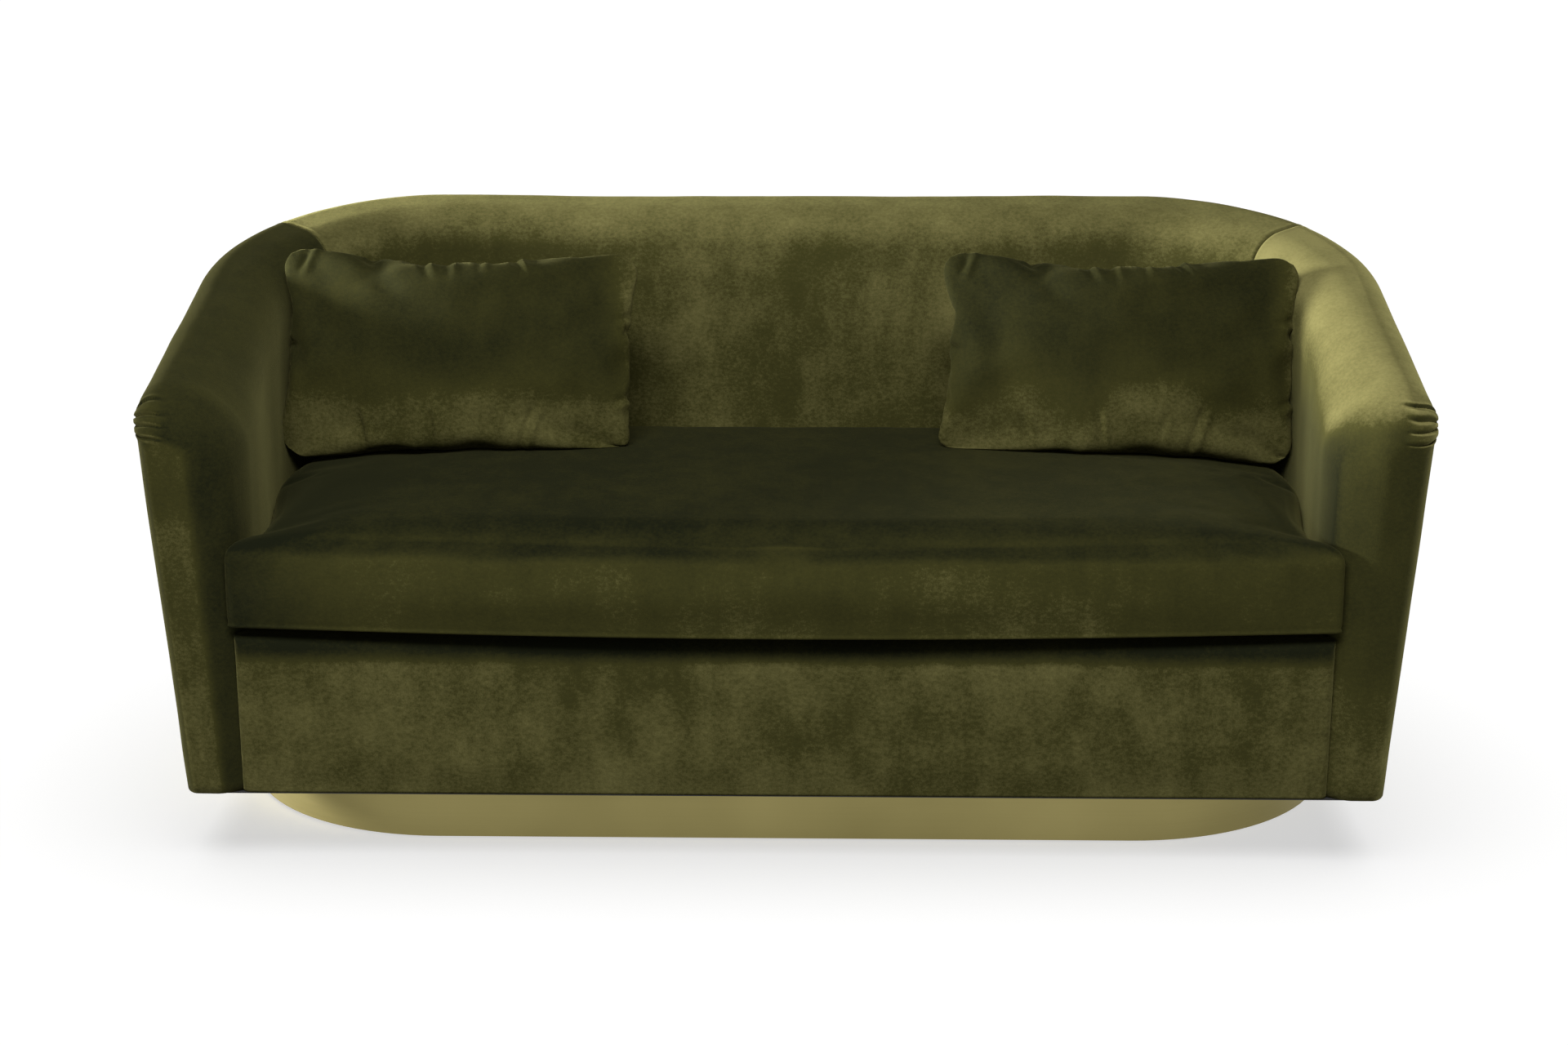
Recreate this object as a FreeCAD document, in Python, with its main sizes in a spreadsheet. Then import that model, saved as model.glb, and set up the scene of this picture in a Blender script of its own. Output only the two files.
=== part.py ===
import FreeCAD, Part
import math
import os
import re
import Sketcher

# A two-seater tub sofa: an upholstered wall on a brass-clad plinth, with a seat cushion and two pillows.
# Millimetres, +Z up, X across the sofa, the front towards -Y, the origin on the floor under the middle.

X_AXIS = FreeCAD.Vector(1, 0, 0)
Z_AXIS = FreeCAD.Vector(0, 0, 1)
Vector = FreeCAD.Vector

# Driving sizes: name, value, what it is. Heights are above the floor, depths behind the sofa's front face.
SIZES = (
    ("base_half_width", "830", "half the body's width at its underside"),
    ("base_depth", "737", "front face to back face at the underside"),
    ("body_bottom", "92", "height of the body's underside"),
    ("wall_flare", "0.0754", "outward lean of the outside, per mm of height"),
    ("outer_corner_radius", "286", "back corners at the underside"),
    ("top_front", "641", "height of the slanted top at the front face"),
    ("top_back", "803", "height of the slanted top above the back of the underside"),
    ("top_roll_radius", "50", "rounding of the top edge"),
    ("arm_thickness", "85", "arms at the underside"),
    ("back_thickness", "233", "back at the underside"),
    ("back_lean", "0.232", "backward lean of the inside back, per mm of height"),
    ("inner_corner_radius", "240", "inside back corners"),
    ("seam_angle", "42", "place of the arm seam on the corner, degrees from the arm"),
    ("velvet", "2", "cover cloth with its backing"),
    ("inside_foam", "28", "foam on the inside"),
    ("top_foam", "48", "foam on the top"),
    ("front_foam", "18", "foam on the arm fronts"),
    ("outside_wadding", "6", "wadding on the outside"),
    ("lining", "3", "bent ply linings"),
    ("hem_below_roll", "20", "outside cover's top edge below the roll"),
    ("rib_thickness", "18", "flat ply ribs"),
    ("top_rib_thickness", "22", "slanted ply rib under the top"),
    ("front_post_depth", "25", "ply posts in the arm fronts"),
    ("upright_thickness", "22", "ply uprights"),
    ("arm_upright_spacing", "176", "uprights in the arms, middle to middle from the front face"),
    ("back_upright_spacing", "248", "uprights in the back, middle to middle"),
    ("middle_rib_rise", "12", "middle rib above the deck"),
    ("rail_setback", "6", "front panel behind the arm fronts"),
    ("rail_pad", "10", "foam on the front rail"),
    ("rail_timber", "27", "front rail's thickness"),
    ("rail_top", "317", "height of the front rail's timber"),
    ("rail_end_gap", "1", "front panel to each arm"),
    ("cross_rail_width", "45", "base cross rails"),
    ("cross_rail_height", "40", "base cross rails"),
    ("cross_rail_spacing", "300", "base cross rails, middle to middle"),
    ("cross_rail_margin", "150", "outermost cross rails at least this far inside the body's sides"),
    ("spring_rail_width", "35", "rails that hold the springs"),
    ("spring_rail_height", "35", "rails that hold the springs"),
    ("spring_rail_top", "300", "height of the spring rails"),
    ("back_rail_setback", "64", "back spring rail's front face before the inside back"),
    ("block_width", "70", "corner blocks"),
    ("block_depth", "45", "corner blocks"),
    ("block_height", "150", "corner blocks"),
    ("spring_spacing", "105", "seat springs, middle to middle"),
    ("spring_margin", "80", "outermost springs at least this far inside the arms"),
    ("spring_wire", "3.8", "spring wire's diameter"),
    ("spring_half_width", "22", "half the width of a spring's waves"),
    ("spring_step", "26", "one run of a spring to the next"),
    ("clip_steel", "1.5", "spring clips' steel"),
    ("clip_width", "18", "spring clips along the wire"),
    ("clip_gap", "0.2", "spring clip round the wire"),
    ("deck_gap", "0.5", "deck pieces to what is round them"),
    ("deck_cloth", "1.5", "cloth on the deck"),
    ("plinth_setback", "66", "plinth behind the body's front face"),
    ("plinth_side_setback", "28", "plinth inside the body's sides"),
    ("plinth_back_setback", "43", "plinth before the body's back"),
    ("plinth_board", "15", "plinth's top and bottom boards"),
    ("plinth_former", "5", "bent ply wall of the plinth"),
    ("plinth_brass", "1.2", "brass band"),
    ("brass_slit", "0.6", "joint in the brass band, at the back"),
    ("plinth_rib", "18", "upright ribs in the plinth"),
    ("plinth_rib_spacing", "260", "upright ribs in the plinth, middle to middle"),
    ("plinth_rib_margin", "100", "outermost ribs at least this far inside the plinth's ends"),
    ("glide_height", "3", "glides under the plinth"),
    ("glide_radius", "15", "glides under the plinth"),
    ("glide_inset", "60", "glides inside the plinth's straight sides"),
    ("screw_radius", "2.5", "screws from plinth to base"),
    ("screw_length", "32", "screws from plinth to base"),
    ("screw_head_radius", "5", "screws from plinth to base"),
    ("screw_head_height", "3", "screws from plinth to base"),
    ("screw_inset", "120", "screws inside the plinth's straight sides"),
    ("dust_cloth", "1", "cloth under the body"),
    ("dust_cloth_inset", "3", "cloth inside the body's edge"),
    ("dust_cloth_gap", "0.5", "cloth to the plinth"),
    ("cushion_overhang", "24", "seat cushion in front of the front face"),
    ("cushion_thickness", "161", "seat cushion at the middle of its crown"),
    ("cushion_crown", "14", "middle of the seat above its front edge"),
    ("cushion_edge_rise", "12", "lower edge above the cushion's flat underside"),
    ("cushion_side_gap", "2", "seat cushion to each arm"),
    ("cushion_back_gap", "8", "seat cushion to the inside back"),
    ("cushion_front_radius", "22", "front corners of the seat cushion"),
    ("rest_gap", "0.3", "loose piece to what it lies on"),
    ("filling_gap", "0.4", "filling to its cover"),
    ("zip_half_length", "300", "half the zip's length"),
    ("zip_width", "22", "zip tape"),
    ("zip_tape", "1.2", "zip tape's thickness"),
    ("zip_gap", "0.5", "tape to cushion and slider to tape"),
    ("slider_length", "9", "zip slider along the zip"),
    ("slider_width", "8", "zip slider across the zip"),
    ("slider_depth", "2.6", "zip slider off the tape"),
    ("tab_length", "18", "zip slider's pull tab"),
    ("tab_width", "5", "zip slider's pull tab"),
    ("pillow_width", "500", "pillow, corner to corner"),
    ("pillow_height", "285", "pillow, corner to corner"),
    ("pillow_thickness", "140", "pillow's middle"),
    ("pillow_corner_radius", "18", "pillow's corners"),
    ("pillow_draw", "12", "how far a pillow's sides draw in between the corners"),
    ("pillow_bulge", "20", "how far the outlines near a pillow's middle bow out"),
    ("pillow_lean", "17", "backward lean of the pillows, degrees"),
    ("pillow_side_gap", "8", "pillow's outer corners to the arm"),
    ("pillow_wall_gap", "16", "pillow's upper corner to the rounded inside corner"),
    ("reach", "1500", "size of the blocks that trim the body"),
    # Worked out from the sizes above.
    ("top_tilt", "=atan((top_back - top_front) / base_depth)", "slant of the top"),
    ("top_slope", "=(top_back - top_front) / base_depth", "rise of the top, per mm of depth"),
    ("roll_square", "=top_roll_radius * sqrt(1 + wall_flare ^ 2)", "roll centre to the outside, level"),
    ("roll_plumb", "=top_roll_radius * sqrt(1 + top_slope ^ 2)", "roll centre to the top, plumb"),
    ("roll_centre", "=(top_back - roll_plumb - top_slope * (wall_flare * body_bottom + roll_square))"
     " / (1 - top_slope * wall_flare)", "height of the back roll's centre"),
    ("rear_reach", "=base_depth + wall_flare * (roll_centre - body_bottom) - roll_square + top_roll_radius",
     "front face to the rearmost point of the roll"),
    ("front_y", "=-(rear_reach - cushion_overhang) / 2", "the front face"),
    ("seat_half_width", "=base_half_width - arm_thickness", "half the width between the arms"),
    ("seat_depth", "=base_depth - back_thickness", "front face to the inside back, at the underside"),
    ("inside_stack", "=velvet + inside_foam", "inside cover and foam"),
    ("top_stack", "=velvet + top_foam", "top cover and foam"),
    ("outside_stack", "=velvet + outside_wadding", "outside cover and wadding"),
    ("front_stack", "=velvet + front_foam", "arm front's cover and foam"),
    ("post_back", "=front_y + front_stack + front_post_depth", "back of the front posts and front rail"),
    ("deck_top", "=rail_top + deck_cloth", "top of the deck"),
    ("deck_pad_bottom", "=spring_rail_top + spring_wire + clip_gap + clip_steel + rest_gap",
     "underside of the pad"),
    ("spring_centre", "=spring_rail_top + spring_wire / 2", "height of the spring wire's middle"),
    ("back_rail_front", "=front_y + seat_depth - back_rail_setback", "front of the back spring rail"),
    ("plinth_half_length", "=base_half_width - plinth_side_setback", "half the plinth's length"),
    ("plinth_end_radius", "=(base_depth - plinth_setback - plinth_back_setback) / 2", "plinth's round ends"),
    ("plinth_top", "=body_bottom", "plinth meets the body"),
    ("plinth_centre", "=front_y + plinth_setback + plinth_end_radius", "middle line of the plinth"),
    ("cushion_bottom", "=rail_top + velvet + rest_gap", "underside of the seat cushion"),
    ("cushion_top", "=cushion_bottom + cushion_thickness", "crown of the seat cushion"),
    ("cushion_half", "=seat_half_width - cushion_side_gap", "half the seat cushion's width"),
    ("cushion_back_radius", "=inner_corner_radius - cushion_back_gap", "back corners of the seat cushion"),
)
ALIASES = re.compile(r"\b(" + "|".join(alias for alias, text, note in SIZES) + r")\b")

doc = FreeCAD.newDocument("two_seater_sofa")
sheet = doc.addObject("Spreadsheet::Sheet", "Sizes")
for row, (alias, text, note) in enumerate(SIZES, 1):
    sheet.set(f"A{row}", alias)
    sheet.set(f"B{row}", text)
    sheet.set(f"C{row}", note)
    sheet.setAlias(f"B{row}", alias)
doc.recompute()

NODES = []


# Helpers for expressions, primitives and booleans

def bind(piece, prop, text):
    """Ties one property to the sheet; text names sizes by their alias."""
    piece.setExpression(prop, ALIASES.sub(r"Sizes.\1", text))


def value(text):
    """The number that an expression of sizes has now."""
    result = sheet.evalExpression(text)
    return float(getattr(result, "Value", result))


def node(label, piece):
    """Names a finished sub-part."""
    piece.Label = label
    NODES.append(piece)
    return piece


def turned(piece, axis, angle):
    """Turns a primitive about an axis through its own corner by a bound angle."""
    piece.Placement = FreeCAD.Placement(Vector(), FreeCAD.Rotation(axis, 1))
    bind(piece, "Placement.Rotation.Angle", angle)


def sized_box(name, lengths, base):
    """A box from its three lengths and its corner."""
    piece = doc.addObject("Part::Box", name)
    for prop, text in zip(("Length", "Width", "Height"), lengths):
        bind(piece, prop, text)
    for axis, text in zip("xyz", base):
        bind(piece, f"Placement.Base.{axis}", text)
    return piece


def box(name, x, y, z):
    """A box between a low and a high limit on each axis."""
    lengths = [f"({high}) - ({low})" for low, high in (x, y, z)]
    return sized_box(name, lengths, [low for low, high in (x, y, z)])


def cylinder(name, centre, z, radius):
    """An upright cylinder."""
    piece = doc.addObject("Part::Cylinder", name)
    bind(piece, "Radius", radius)
    bind(piece, "Height", f"({z[1]}) - ({z[0]})")
    for axis, text in zip("xyz", (*centre, z[0])):
        bind(piece, f"Placement.Base.{axis}", text)
    return piece


def boolean(kind, name, base, tool):
    """A Part::Cut or Part::Common of two pieces."""
    piece = doc.addObject(kind, name)
    piece.Base = base
    piece.Tool = tool
    return piece


def cut(name, base, tool):
    return boolean("Part::Cut", name, base, tool)


def common(name, base, tool):
    return boolean("Part::Common", name, base, tool)


def group(name, pieces):
    """Separate solids of one kind, kept as one sub-part."""
    piece = doc.addObject("Part::Compound", name)
    piece.Links = pieces
    return piece


def odd_count(half, spacing):
    """How many places, one of them in the middle, fit between two sides."""
    return 2 * int(value(f"({half}) / {spacing}")) + 1


def even_count(half, spacing):
    """How many places, none of them in the middle, fit between two sides."""
    return 2 * int(value(f"({half}) / {spacing} + 0.5"))


def centred_places(count, spacing):
    """Evenly spaced places about the middle, as expressions."""
    return [f"({index - (count - 1) / 2}) * {spacing}" for index in range(count)]


# Outlines: the body is a D in plan, the plinth a rectangle with round ends

def dimension(sketch, name, constraint, text):
    """A named dimension of a sketch, bound to the sheet."""
    sketch.renameConstraint(sketch.addConstraint(constraint), name)
    bind(sketch, f"Constraints.{name}", text)


def draw_d(sketch, half, depth, radius):
    """A D outline: straight front on the X axis, two sides, two round back corners."""
    h, d, r = value(half), value(depth), value(radius)
    left_corner = Part.Circle(Vector(r - h, d - r, 0), Z_AXIS, r)
    right_corner = Part.Circle(Vector(h - r, d - r, 0), Z_AXIS, r)
    sketch.addGeometry([
        Part.LineSegment(Vector(-h, 0, 0), Vector(-h, d - r, 0)),
        Part.ArcOfCircle(left_corner, math.pi / 2, math.pi),
        Part.LineSegment(Vector(r - h, d, 0), Vector(h - r, d, 0)),
        Part.ArcOfCircle(right_corner, 0, math.pi / 2),
        Part.LineSegment(Vector(h, d - r, 0), Vector(h, 0, 0)),
        Part.LineSegment(Vector(h, 0, 0), Vector(-h, 0, 0)),
    ], False)
    tie = Sketcher.Constraint
    sketch.addConstraint([
        tie("Tangent", 0, 2, 1, 2), tie("Tangent", 1, 1, 2, 1), tie("Tangent", 2, 2, 3, 2),
        tie("Tangent", 3, 1, 4, 1), tie("Coincident", 4, 2, 5, 1), tie("Coincident", 5, 2, 0, 1),
        tie("Vertical", 0), tie("Vertical", 4), tie("Horizontal", 2),
        tie("PointOnObject", 4, 2, -1), tie("PointOnObject", 0, 1, -1), tie("Equal", 1, 3),
    ])
    dimension(sketch, "right_half", tie("DistanceX", -1, 1, 4, 2, h), half)
    dimension(sketch, "left_half", tie("DistanceX", 0, 1, -1, 1, h), half)
    dimension(sketch, "depth", tie("DistanceY", -1, 1, 2, 2, d), depth)
    dimension(sketch, "corner", tie("Radius", 1, r), radius)


def draw_stadium(sketch, half, radius):
    """A rectangle with half-round ends about the sketch's origin."""
    h, r = value(half), value(radius)
    right_end = Part.Circle(Vector(h - r, 0, 0), Z_AXIS, r)
    left_end = Part.Circle(Vector(r - h, 0, 0), Z_AXIS, r)
    sketch.addGeometry([
        Part.LineSegment(Vector(r - h, -r, 0), Vector(h - r, -r, 0)),
        Part.ArcOfCircle(right_end, -math.pi / 2, math.pi / 2),
        Part.LineSegment(Vector(h - r, r, 0), Vector(r - h, r, 0)),
        Part.ArcOfCircle(left_end, math.pi / 2, 3 * math.pi / 2),
    ], False)
    tie = Sketcher.Constraint
    sketch.addConstraint([
        tie("Tangent", 0, 2, 1, 1), tie("Tangent", 1, 2, 2, 1), tie("Tangent", 2, 2, 3, 1),
        tie("Tangent", 3, 2, 0, 1), tie("Horizontal", 0), tie("Equal", 1, 3),
        tie("Symmetric", 3, 3, 1, 3, -1, 1),
    ])
    dimension(sketch, "straight", tie("DistanceX", 3, 3, 1, 3, 2 * (h - r)), f"2 * (({half}) - ({radius}))")
    dimension(sketch, "end", tie("Radius", 1, r), radius)


def body_sketch(body, name, role):
    """A sketch on one of a body's own origin planes."""
    sketch = body.newObject("Sketcher::SketchObject", name)
    plane = next(item for item in body.Origin.OriginFeatures if item.Role == role)
    sketch.AttachmentSupport = [(plane, "")]
    sketch.MapMode = "FlatFace"
    return sketch


def padded_outline(name, draw, sizes, y, z):
    """A PartDesign body: one outline in plan, padded between two heights."""
    body = doc.addObject("PartDesign::Body", name)
    sketch = body_sketch(body, f"{name}_outline", "XY_Plane")
    draw(sketch, *sizes)
    pad = body.newObject("PartDesign::Pad", f"{name}_pad")
    pad.Profile = sketch
    bind(pad, "Length", f"({z[1]}) - ({z[0]})")
    bind(body, "Placement.Base.y", y)
    bind(body, "Placement.Base.z", z[0])
    return body


def stadium(name, inset, low, high):
    """A board with the plinth's outline, smaller by an inset."""
    sizes = (f"plinth_half_length - ({inset})", f"plinth_end_radius - ({inset})")
    return padded_outline(name, draw_stadium, sizes, "plinth_centre", (low, high))


# Blocks that the wall's layers are cut from

LOFT_TOP = "(top_back + 2 * top_roll_radius)"
FLARE = f"wall_flare * ({LOFT_TOP} - body_bottom)"


def d_loft(name, levels):
    """A straight-sided block between two D outlines: half, depth, radius, front and height of each."""
    outlines = []
    for step, (half, depth, radius, front, height) in enumerate(levels):
        sketch = doc.addObject("Sketcher::SketchObject", f"{name}_outline_{step}")
        draw_d(sketch, half, depth, radius)
        bind(sketch, "Placement.Base.y", front)
        bind(sketch, "Placement.Base.z", height)
        outlines.append(sketch)
    block = doc.addObject("Part::Loft", name)
    block.Sections = outlines
    block.Solid = True
    block.Ruled = True
    return block


def outer_block(name, inset, front_inset):
    """The body's outside as a full block, leaning outwards."""
    front = f"front_y + {front_inset}"
    levels = []
    for grow, height in (("0", "body_bottom"), (FLARE, LOFT_TOP)):
        levels.append((f"base_half_width - ({inset}) + {grow}",
                       f"base_depth - ({inset}) - ({front_inset}) + {grow}",
                       f"outer_corner_radius - ({inset}) + {grow}", front, height))
    return d_loft(name, levels)


def seat_block(name, inset):
    """The space between the arms as a full block, from the floor up, open past the front."""
    margin = "reach / 10"
    levels = []
    for height in ("0", LOFT_TOP):
        lean = f"back_lean * (({height}) - body_bottom)"
        levels.append((f"seat_half_width + ({inset})", f"seat_depth + ({inset}) + {margin} + {lean}",
                       f"inner_corner_radius + ({inset})", f"front_y - {margin}", height))
    return d_loft(name, levels)


def below_top(name, drop):
    """All that lies under the slanted top, lowered square to it."""
    piece = doc.addObject("Part::Box", name)
    turned(piece, X_AXIS, "top_tilt")
    for prop, text in (("Length", "2 * reach"), ("Width", "2 * reach"), ("Height", "reach")):
        bind(piece, prop, text)
    bind(piece, "Placement.Base.x", "-reach")
    bind(piece, "Placement.Base.y",
         f"front_y - reach / 2 * cos(top_tilt) + (reach + {drop}) * sin(top_tilt)")
    bind(piece, "Placement.Base.z",
         f"top_front - reach / 2 * sin(top_tilt) - (reach + {drop}) * cos(top_tilt)")
    return piece


def arm_side(name, side):
    """All that lies on an arm's side of its corner seam."""
    piece = doc.addObject("Part::Box", name)
    turned(piece, Z_AXIS, "180 - seam_angle" if side < 0 else "seam_angle - 90")
    for prop in ("Length", "Width", "Height"):
        bind(piece, prop, "reach")
    inward = "reach / 3"
    bind(piece, "Placement.Base.x",
         f"{side} * (base_half_width - outer_corner_radius - {inward} * cos(seam_angle))")
    bind(piece, "Placement.Base.y",
         f"front_y + base_depth - outer_corner_radius - {inward} * sin(seam_angle)")
    return piece


def rolled_wall(name, inset, radius):
    """The wall of the tub, smaller by an inset, with its top edges rounded."""
    block = outer_block(f"{name}_outside", inset, inset)
    hollow = seat_block(f"{name}_inside", inset)
    trimmed = common(f"{name}_trimmed", cut(f"{name}_ring", block, hollow), below_top(f"{name}_top", inset))
    doc.recompute()
    slant = math.atan(value("top_slope"))
    normal = Vector(0, -math.sin(slant), math.cos(slant))
    level = normal.dot(Vector(0, value("front_y"), value("top_front"))) - value(inset)
    edges = []
    for number, edge in enumerate(trimmed.Shape.Edges, 1):
        middle = edge.valueAt((edge.FirstParameter + edge.LastParameter) / 2)
        points = [middle] + [vertex.Point for vertex in edge.Vertexes]
        if all(abs(normal.dot(point) - level) < 1e-3 for point in points):
            edges.append((number, radius, radius))
    wall = doc.addObject("Part::Fillet", name)
    wall.Base = trimmed
    wall.Edges = edges
    return wall


def split_at_seams(whole, names):
    """Cuts a layer at the two corner seams into its left, back and right pieces."""
    left, back, right = names
    node(left, common(f"{left}_piece", whole, LEFT_SIDE))
    node(right, common(f"{right}_piece", whole, RIGHT_SIDE))
    node(back, cut(f"{back}_piece", cut(f"{back}_middle", whole, LEFT_SIDE), RIGHT_SIDE))


# Plinth: two boards, ribs and a bent wall, clad in brass, on glides

BOARD_INSET = "plinth_brass + plinth_former"
STRAIGHT_HALF = "(plinth_half_length - plinth_end_radius)"
CROSS_RAILS = odd_count("base_half_width - cross_rail_margin", "cross_rail_spacing")
CROSS_PLACES = centred_places(CROSS_RAILS, "cross_rail_spacing")

screws = []
for index, x in enumerate(CROSS_PLACES):
    for row, side in enumerate((-1, 1)):
        centre = (x, f"plinth_centre + ({side}) * (plinth_end_radius - screw_inset)")
        head_low = "plinth_top - plinth_board - screw_head_height"
        head = cylinder(f"screw_head_{index}_{row}", centre,
                        (head_low, "plinth_top - plinth_board"), "screw_head_radius")
        shank = cylinder(f"screw_shank_{index}_{row}", centre,
                         ("plinth_top - plinth_board", f"{head_low} + screw_length"), "screw_radius")
        screw = doc.addObject("Part::Fuse", f"screw_{index}_{row}")
        screw.Base = head
        screw.Tool = shank
        screws.append(screw)
plinth_screws = node("plinth_screws", group("plinth_screw_group", screws))

glides = []
for index, x in enumerate((f"-{STRAIGHT_HALF}", "0", STRAIGHT_HALF)):
    for row, side in enumerate((-1, 1)):
        y = f"plinth_centre + ({side}) * (plinth_end_radius - glide_inset)"
        glides.append(cylinder(f"glide_{index}_{row}", (x, y), ("0", "glide_height"), "glide_radius"))
node("floor_glides", group("glide_group", glides))

BOARD_TOP = "(glide_height + plinth_board)"
node("plinth_bottom_board", stadium("bottom_board", BOARD_INSET, "glide_height", BOARD_TOP))
top_board = stadium("top_board", BOARD_INSET, "plinth_top - plinth_board", "plinth_top")
node("plinth_top_board", cut("drilled_top_board", top_board, plinth_screws))

PLINTH_RIBS = even_count("plinth_half_length - plinth_rib_margin", "plinth_rib_spacing")
rib_blanks = []
for index, x in enumerate(centred_places(PLINTH_RIBS, "plinth_rib_spacing")):
    rib_blanks.append(box(f"plinth_rib_{index}", (f"{x} - plinth_rib / 2", f"{x} + plinth_rib / 2"),
                          ("plinth_centre - plinth_end_radius", "plinth_centre + plinth_end_radius"),
                          (BOARD_TOP, "plinth_top - plinth_board")))
rib_trim = stadium("rib_trim", f"{BOARD_INSET} + rest_gap", "0", "plinth_top")
node("plinth_ribs", common("trimmed_plinth_ribs", group("plinth_rib_group", rib_blanks), rib_trim))

former_block = stadium("former_block", "plinth_brass", "glide_height", "plinth_top")
former_hollow = stadium("former_hollow", BOARD_INSET, "glide_height", "plinth_top")
node("plinth_former", cut("former_ring", former_block, former_hollow))

band_block = stadium("band_block", "0", "glide_height", "plinth_top")
band_hollow = stadium("band_hollow", "plinth_brass", "glide_height", "plinth_top")
band_slit = box("band_slit", ("-brass_slit / 2", "brass_slit / 2"),
                ("plinth_centre", "plinth_centre + plinth_end_radius + plinth_brass"), ("0", "plinth_top"))
node("plinth_band", cut("band_strip", cut("band_ring", band_block, band_hollow), band_slit))

dust_blank = padded_outline("dust_blank", draw_d,
                            ("base_half_width - dust_cloth_inset", "base_depth - 2 * dust_cloth_inset",
                             "outer_corner_radius - dust_cloth_inset"),
                            "front_y + dust_cloth_inset", ("body_bottom - dust_cloth", "body_bottom"))
dust_hole = stadium("dust_hole", "-dust_cloth_gap", "body_bottom - 2 * dust_cloth", "body_bottom")
node("dust_cover", cut("dust_cloth_ring", dust_blank, dust_hole))

# Wall of the tub: covers, foam, linings and the ply frame inside

FRAME_INSIDE = "(inside_stack + lining)"
FRAME_OUTSIDE = "(outside_stack + lining)"
HEM = "(top_roll_radius + hem_below_roll)"
RIB_DROP = "(top_stack + top_rib_thickness)"
BEHIND_POSTS = ("post_back", "front_y + reach")
BEHIND_FRONT_FOAM = ("front_y + front_stack", "front_y + reach")
ACROSS = ("-reach", "reach")

LEFT_SIDE = arm_side("left_of_seam", -1)
RIGHT_SIDE = arm_side("right_of_seam", 1)

cover_wall = rolled_wall("cover_wall", "0", value("top_roll_radius"))
foam_wall = rolled_wall("foam_wall", "velvet", value("top_roll_radius - velvet"))

lining_outside = outer_block("lining_outside", "outside_stack", "front_stack")
lining_inside = seat_block("lining_inside", "inside_stack")
core_top = below_top("core_top", "top_stack")
core = common("frame_core", cut("frame_core_ring", lining_outside, lining_inside), core_top)

# Below the deck the inside cover and foam end, and the base reaches the linings.
under_deck = common("under_deck", lining_inside,
                    box("under_deck_zone", ACROSS, BEHIND_POSTS, ("0", "deck_top")))

cover_skin = cut("cover_skin", cut("cover_skin_full", cover_wall, foam_wall), under_deck)
outside_ring = cut("outside_ring", outer_block("skin_outside", "0", "velvet"),
                   outer_block("skin_inside", "velvet", "velvet"))
outside_skin = common("outside_skin", outside_ring, below_top("outside_hem", HEM))
inside_skin = cut("inside_skin", cover_skin, outside_skin)
foam_layer = cut("foam_layer", cut("foam_layer_full", foam_wall, core), under_deck)

split_at_seams(inside_skin, ("left_arm_cover", "inside_back_cover", "right_arm_cover"))
split_at_seams(outside_skin, ("left_outside_cover", "outside_back_cover", "right_outside_cover"))
split_at_seams(foam_layer, ("left_arm_foam", "back_foam", "right_arm_foam"))

frame_outside = outer_block("frame_outside", FRAME_OUTSIDE, "front_stack")
frame_inside = seat_block("frame_inside", FRAME_INSIDE)
behind_posts = box("behind_posts", ACROSS, BEHIND_POSTS, ("0", "reach"))
inner_ring = cut("inner_lining_ring", frame_inside, lining_inside)
outer_ring = cut("outer_lining_ring", lining_outside, frame_outside)
above_bottom = box("above_bottom", ACROSS, ("-reach", "reach"), ("body_bottom", "reach"))


def lining_sheet(name, ring, zone):
    """A bent lining under the top foam and above the underside."""
    height = common(f"{name}_height", core_top, above_bottom)
    return common(name, common(f"{name}_length", ring, zone), height)


split_at_seams(lining_sheet("inner_lining", inner_ring, behind_posts),
               ("left_inner_lining", "back_inner_lining", "right_inner_lining"))
behind_front_foam = box("behind_front_foam", ACROSS, BEHIND_FRONT_FOAM, ("0", "reach"))
split_at_seams(lining_sheet("outer_lining", outer_ring, behind_front_foam),
               ("left_outer_lining", "back_outer_lining", "right_outer_lining"))

frame_ring = cut("frame_ring", frame_outside, frame_inside)
frame_zone = common("frame_zone", frame_ring, core_top)
post_zone = box("post_zone", ACROSS, ("front_y + front_stack", "post_back"), ("body_bottom", "reach"))
posts = common("front_posts", frame_zone, post_zone)
node("left_front_post", common("left_post", posts, LEFT_SIDE))
node("right_front_post", common("right_post", posts, RIGHT_SIDE))

rib_zone = common("rib_zone", frame_zone, behind_posts)
bottom_slab = box("bottom_slab", ACROSS, BEHIND_POSTS, ("body_bottom", "body_bottom + rib_thickness"))
middle_low = "deck_top + middle_rib_rise"
middle_slab = box("middle_slab", ACROSS, BEHIND_POSTS, (middle_low, f"{middle_low} + rib_thickness"))
under_top_rib = below_top("under_top_rib", RIB_DROP)
bottom_plate = common("bottom_rib_plate", rib_zone, bottom_slab)
node("bottom_rib", cut("drilled_bottom_rib", bottom_plate, plinth_screws))
node("middle_rib", common("middle_rib_plate", rib_zone, middle_slab))
node("top_rib", cut("top_rib_plate", rib_zone, under_top_rib))

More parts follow.
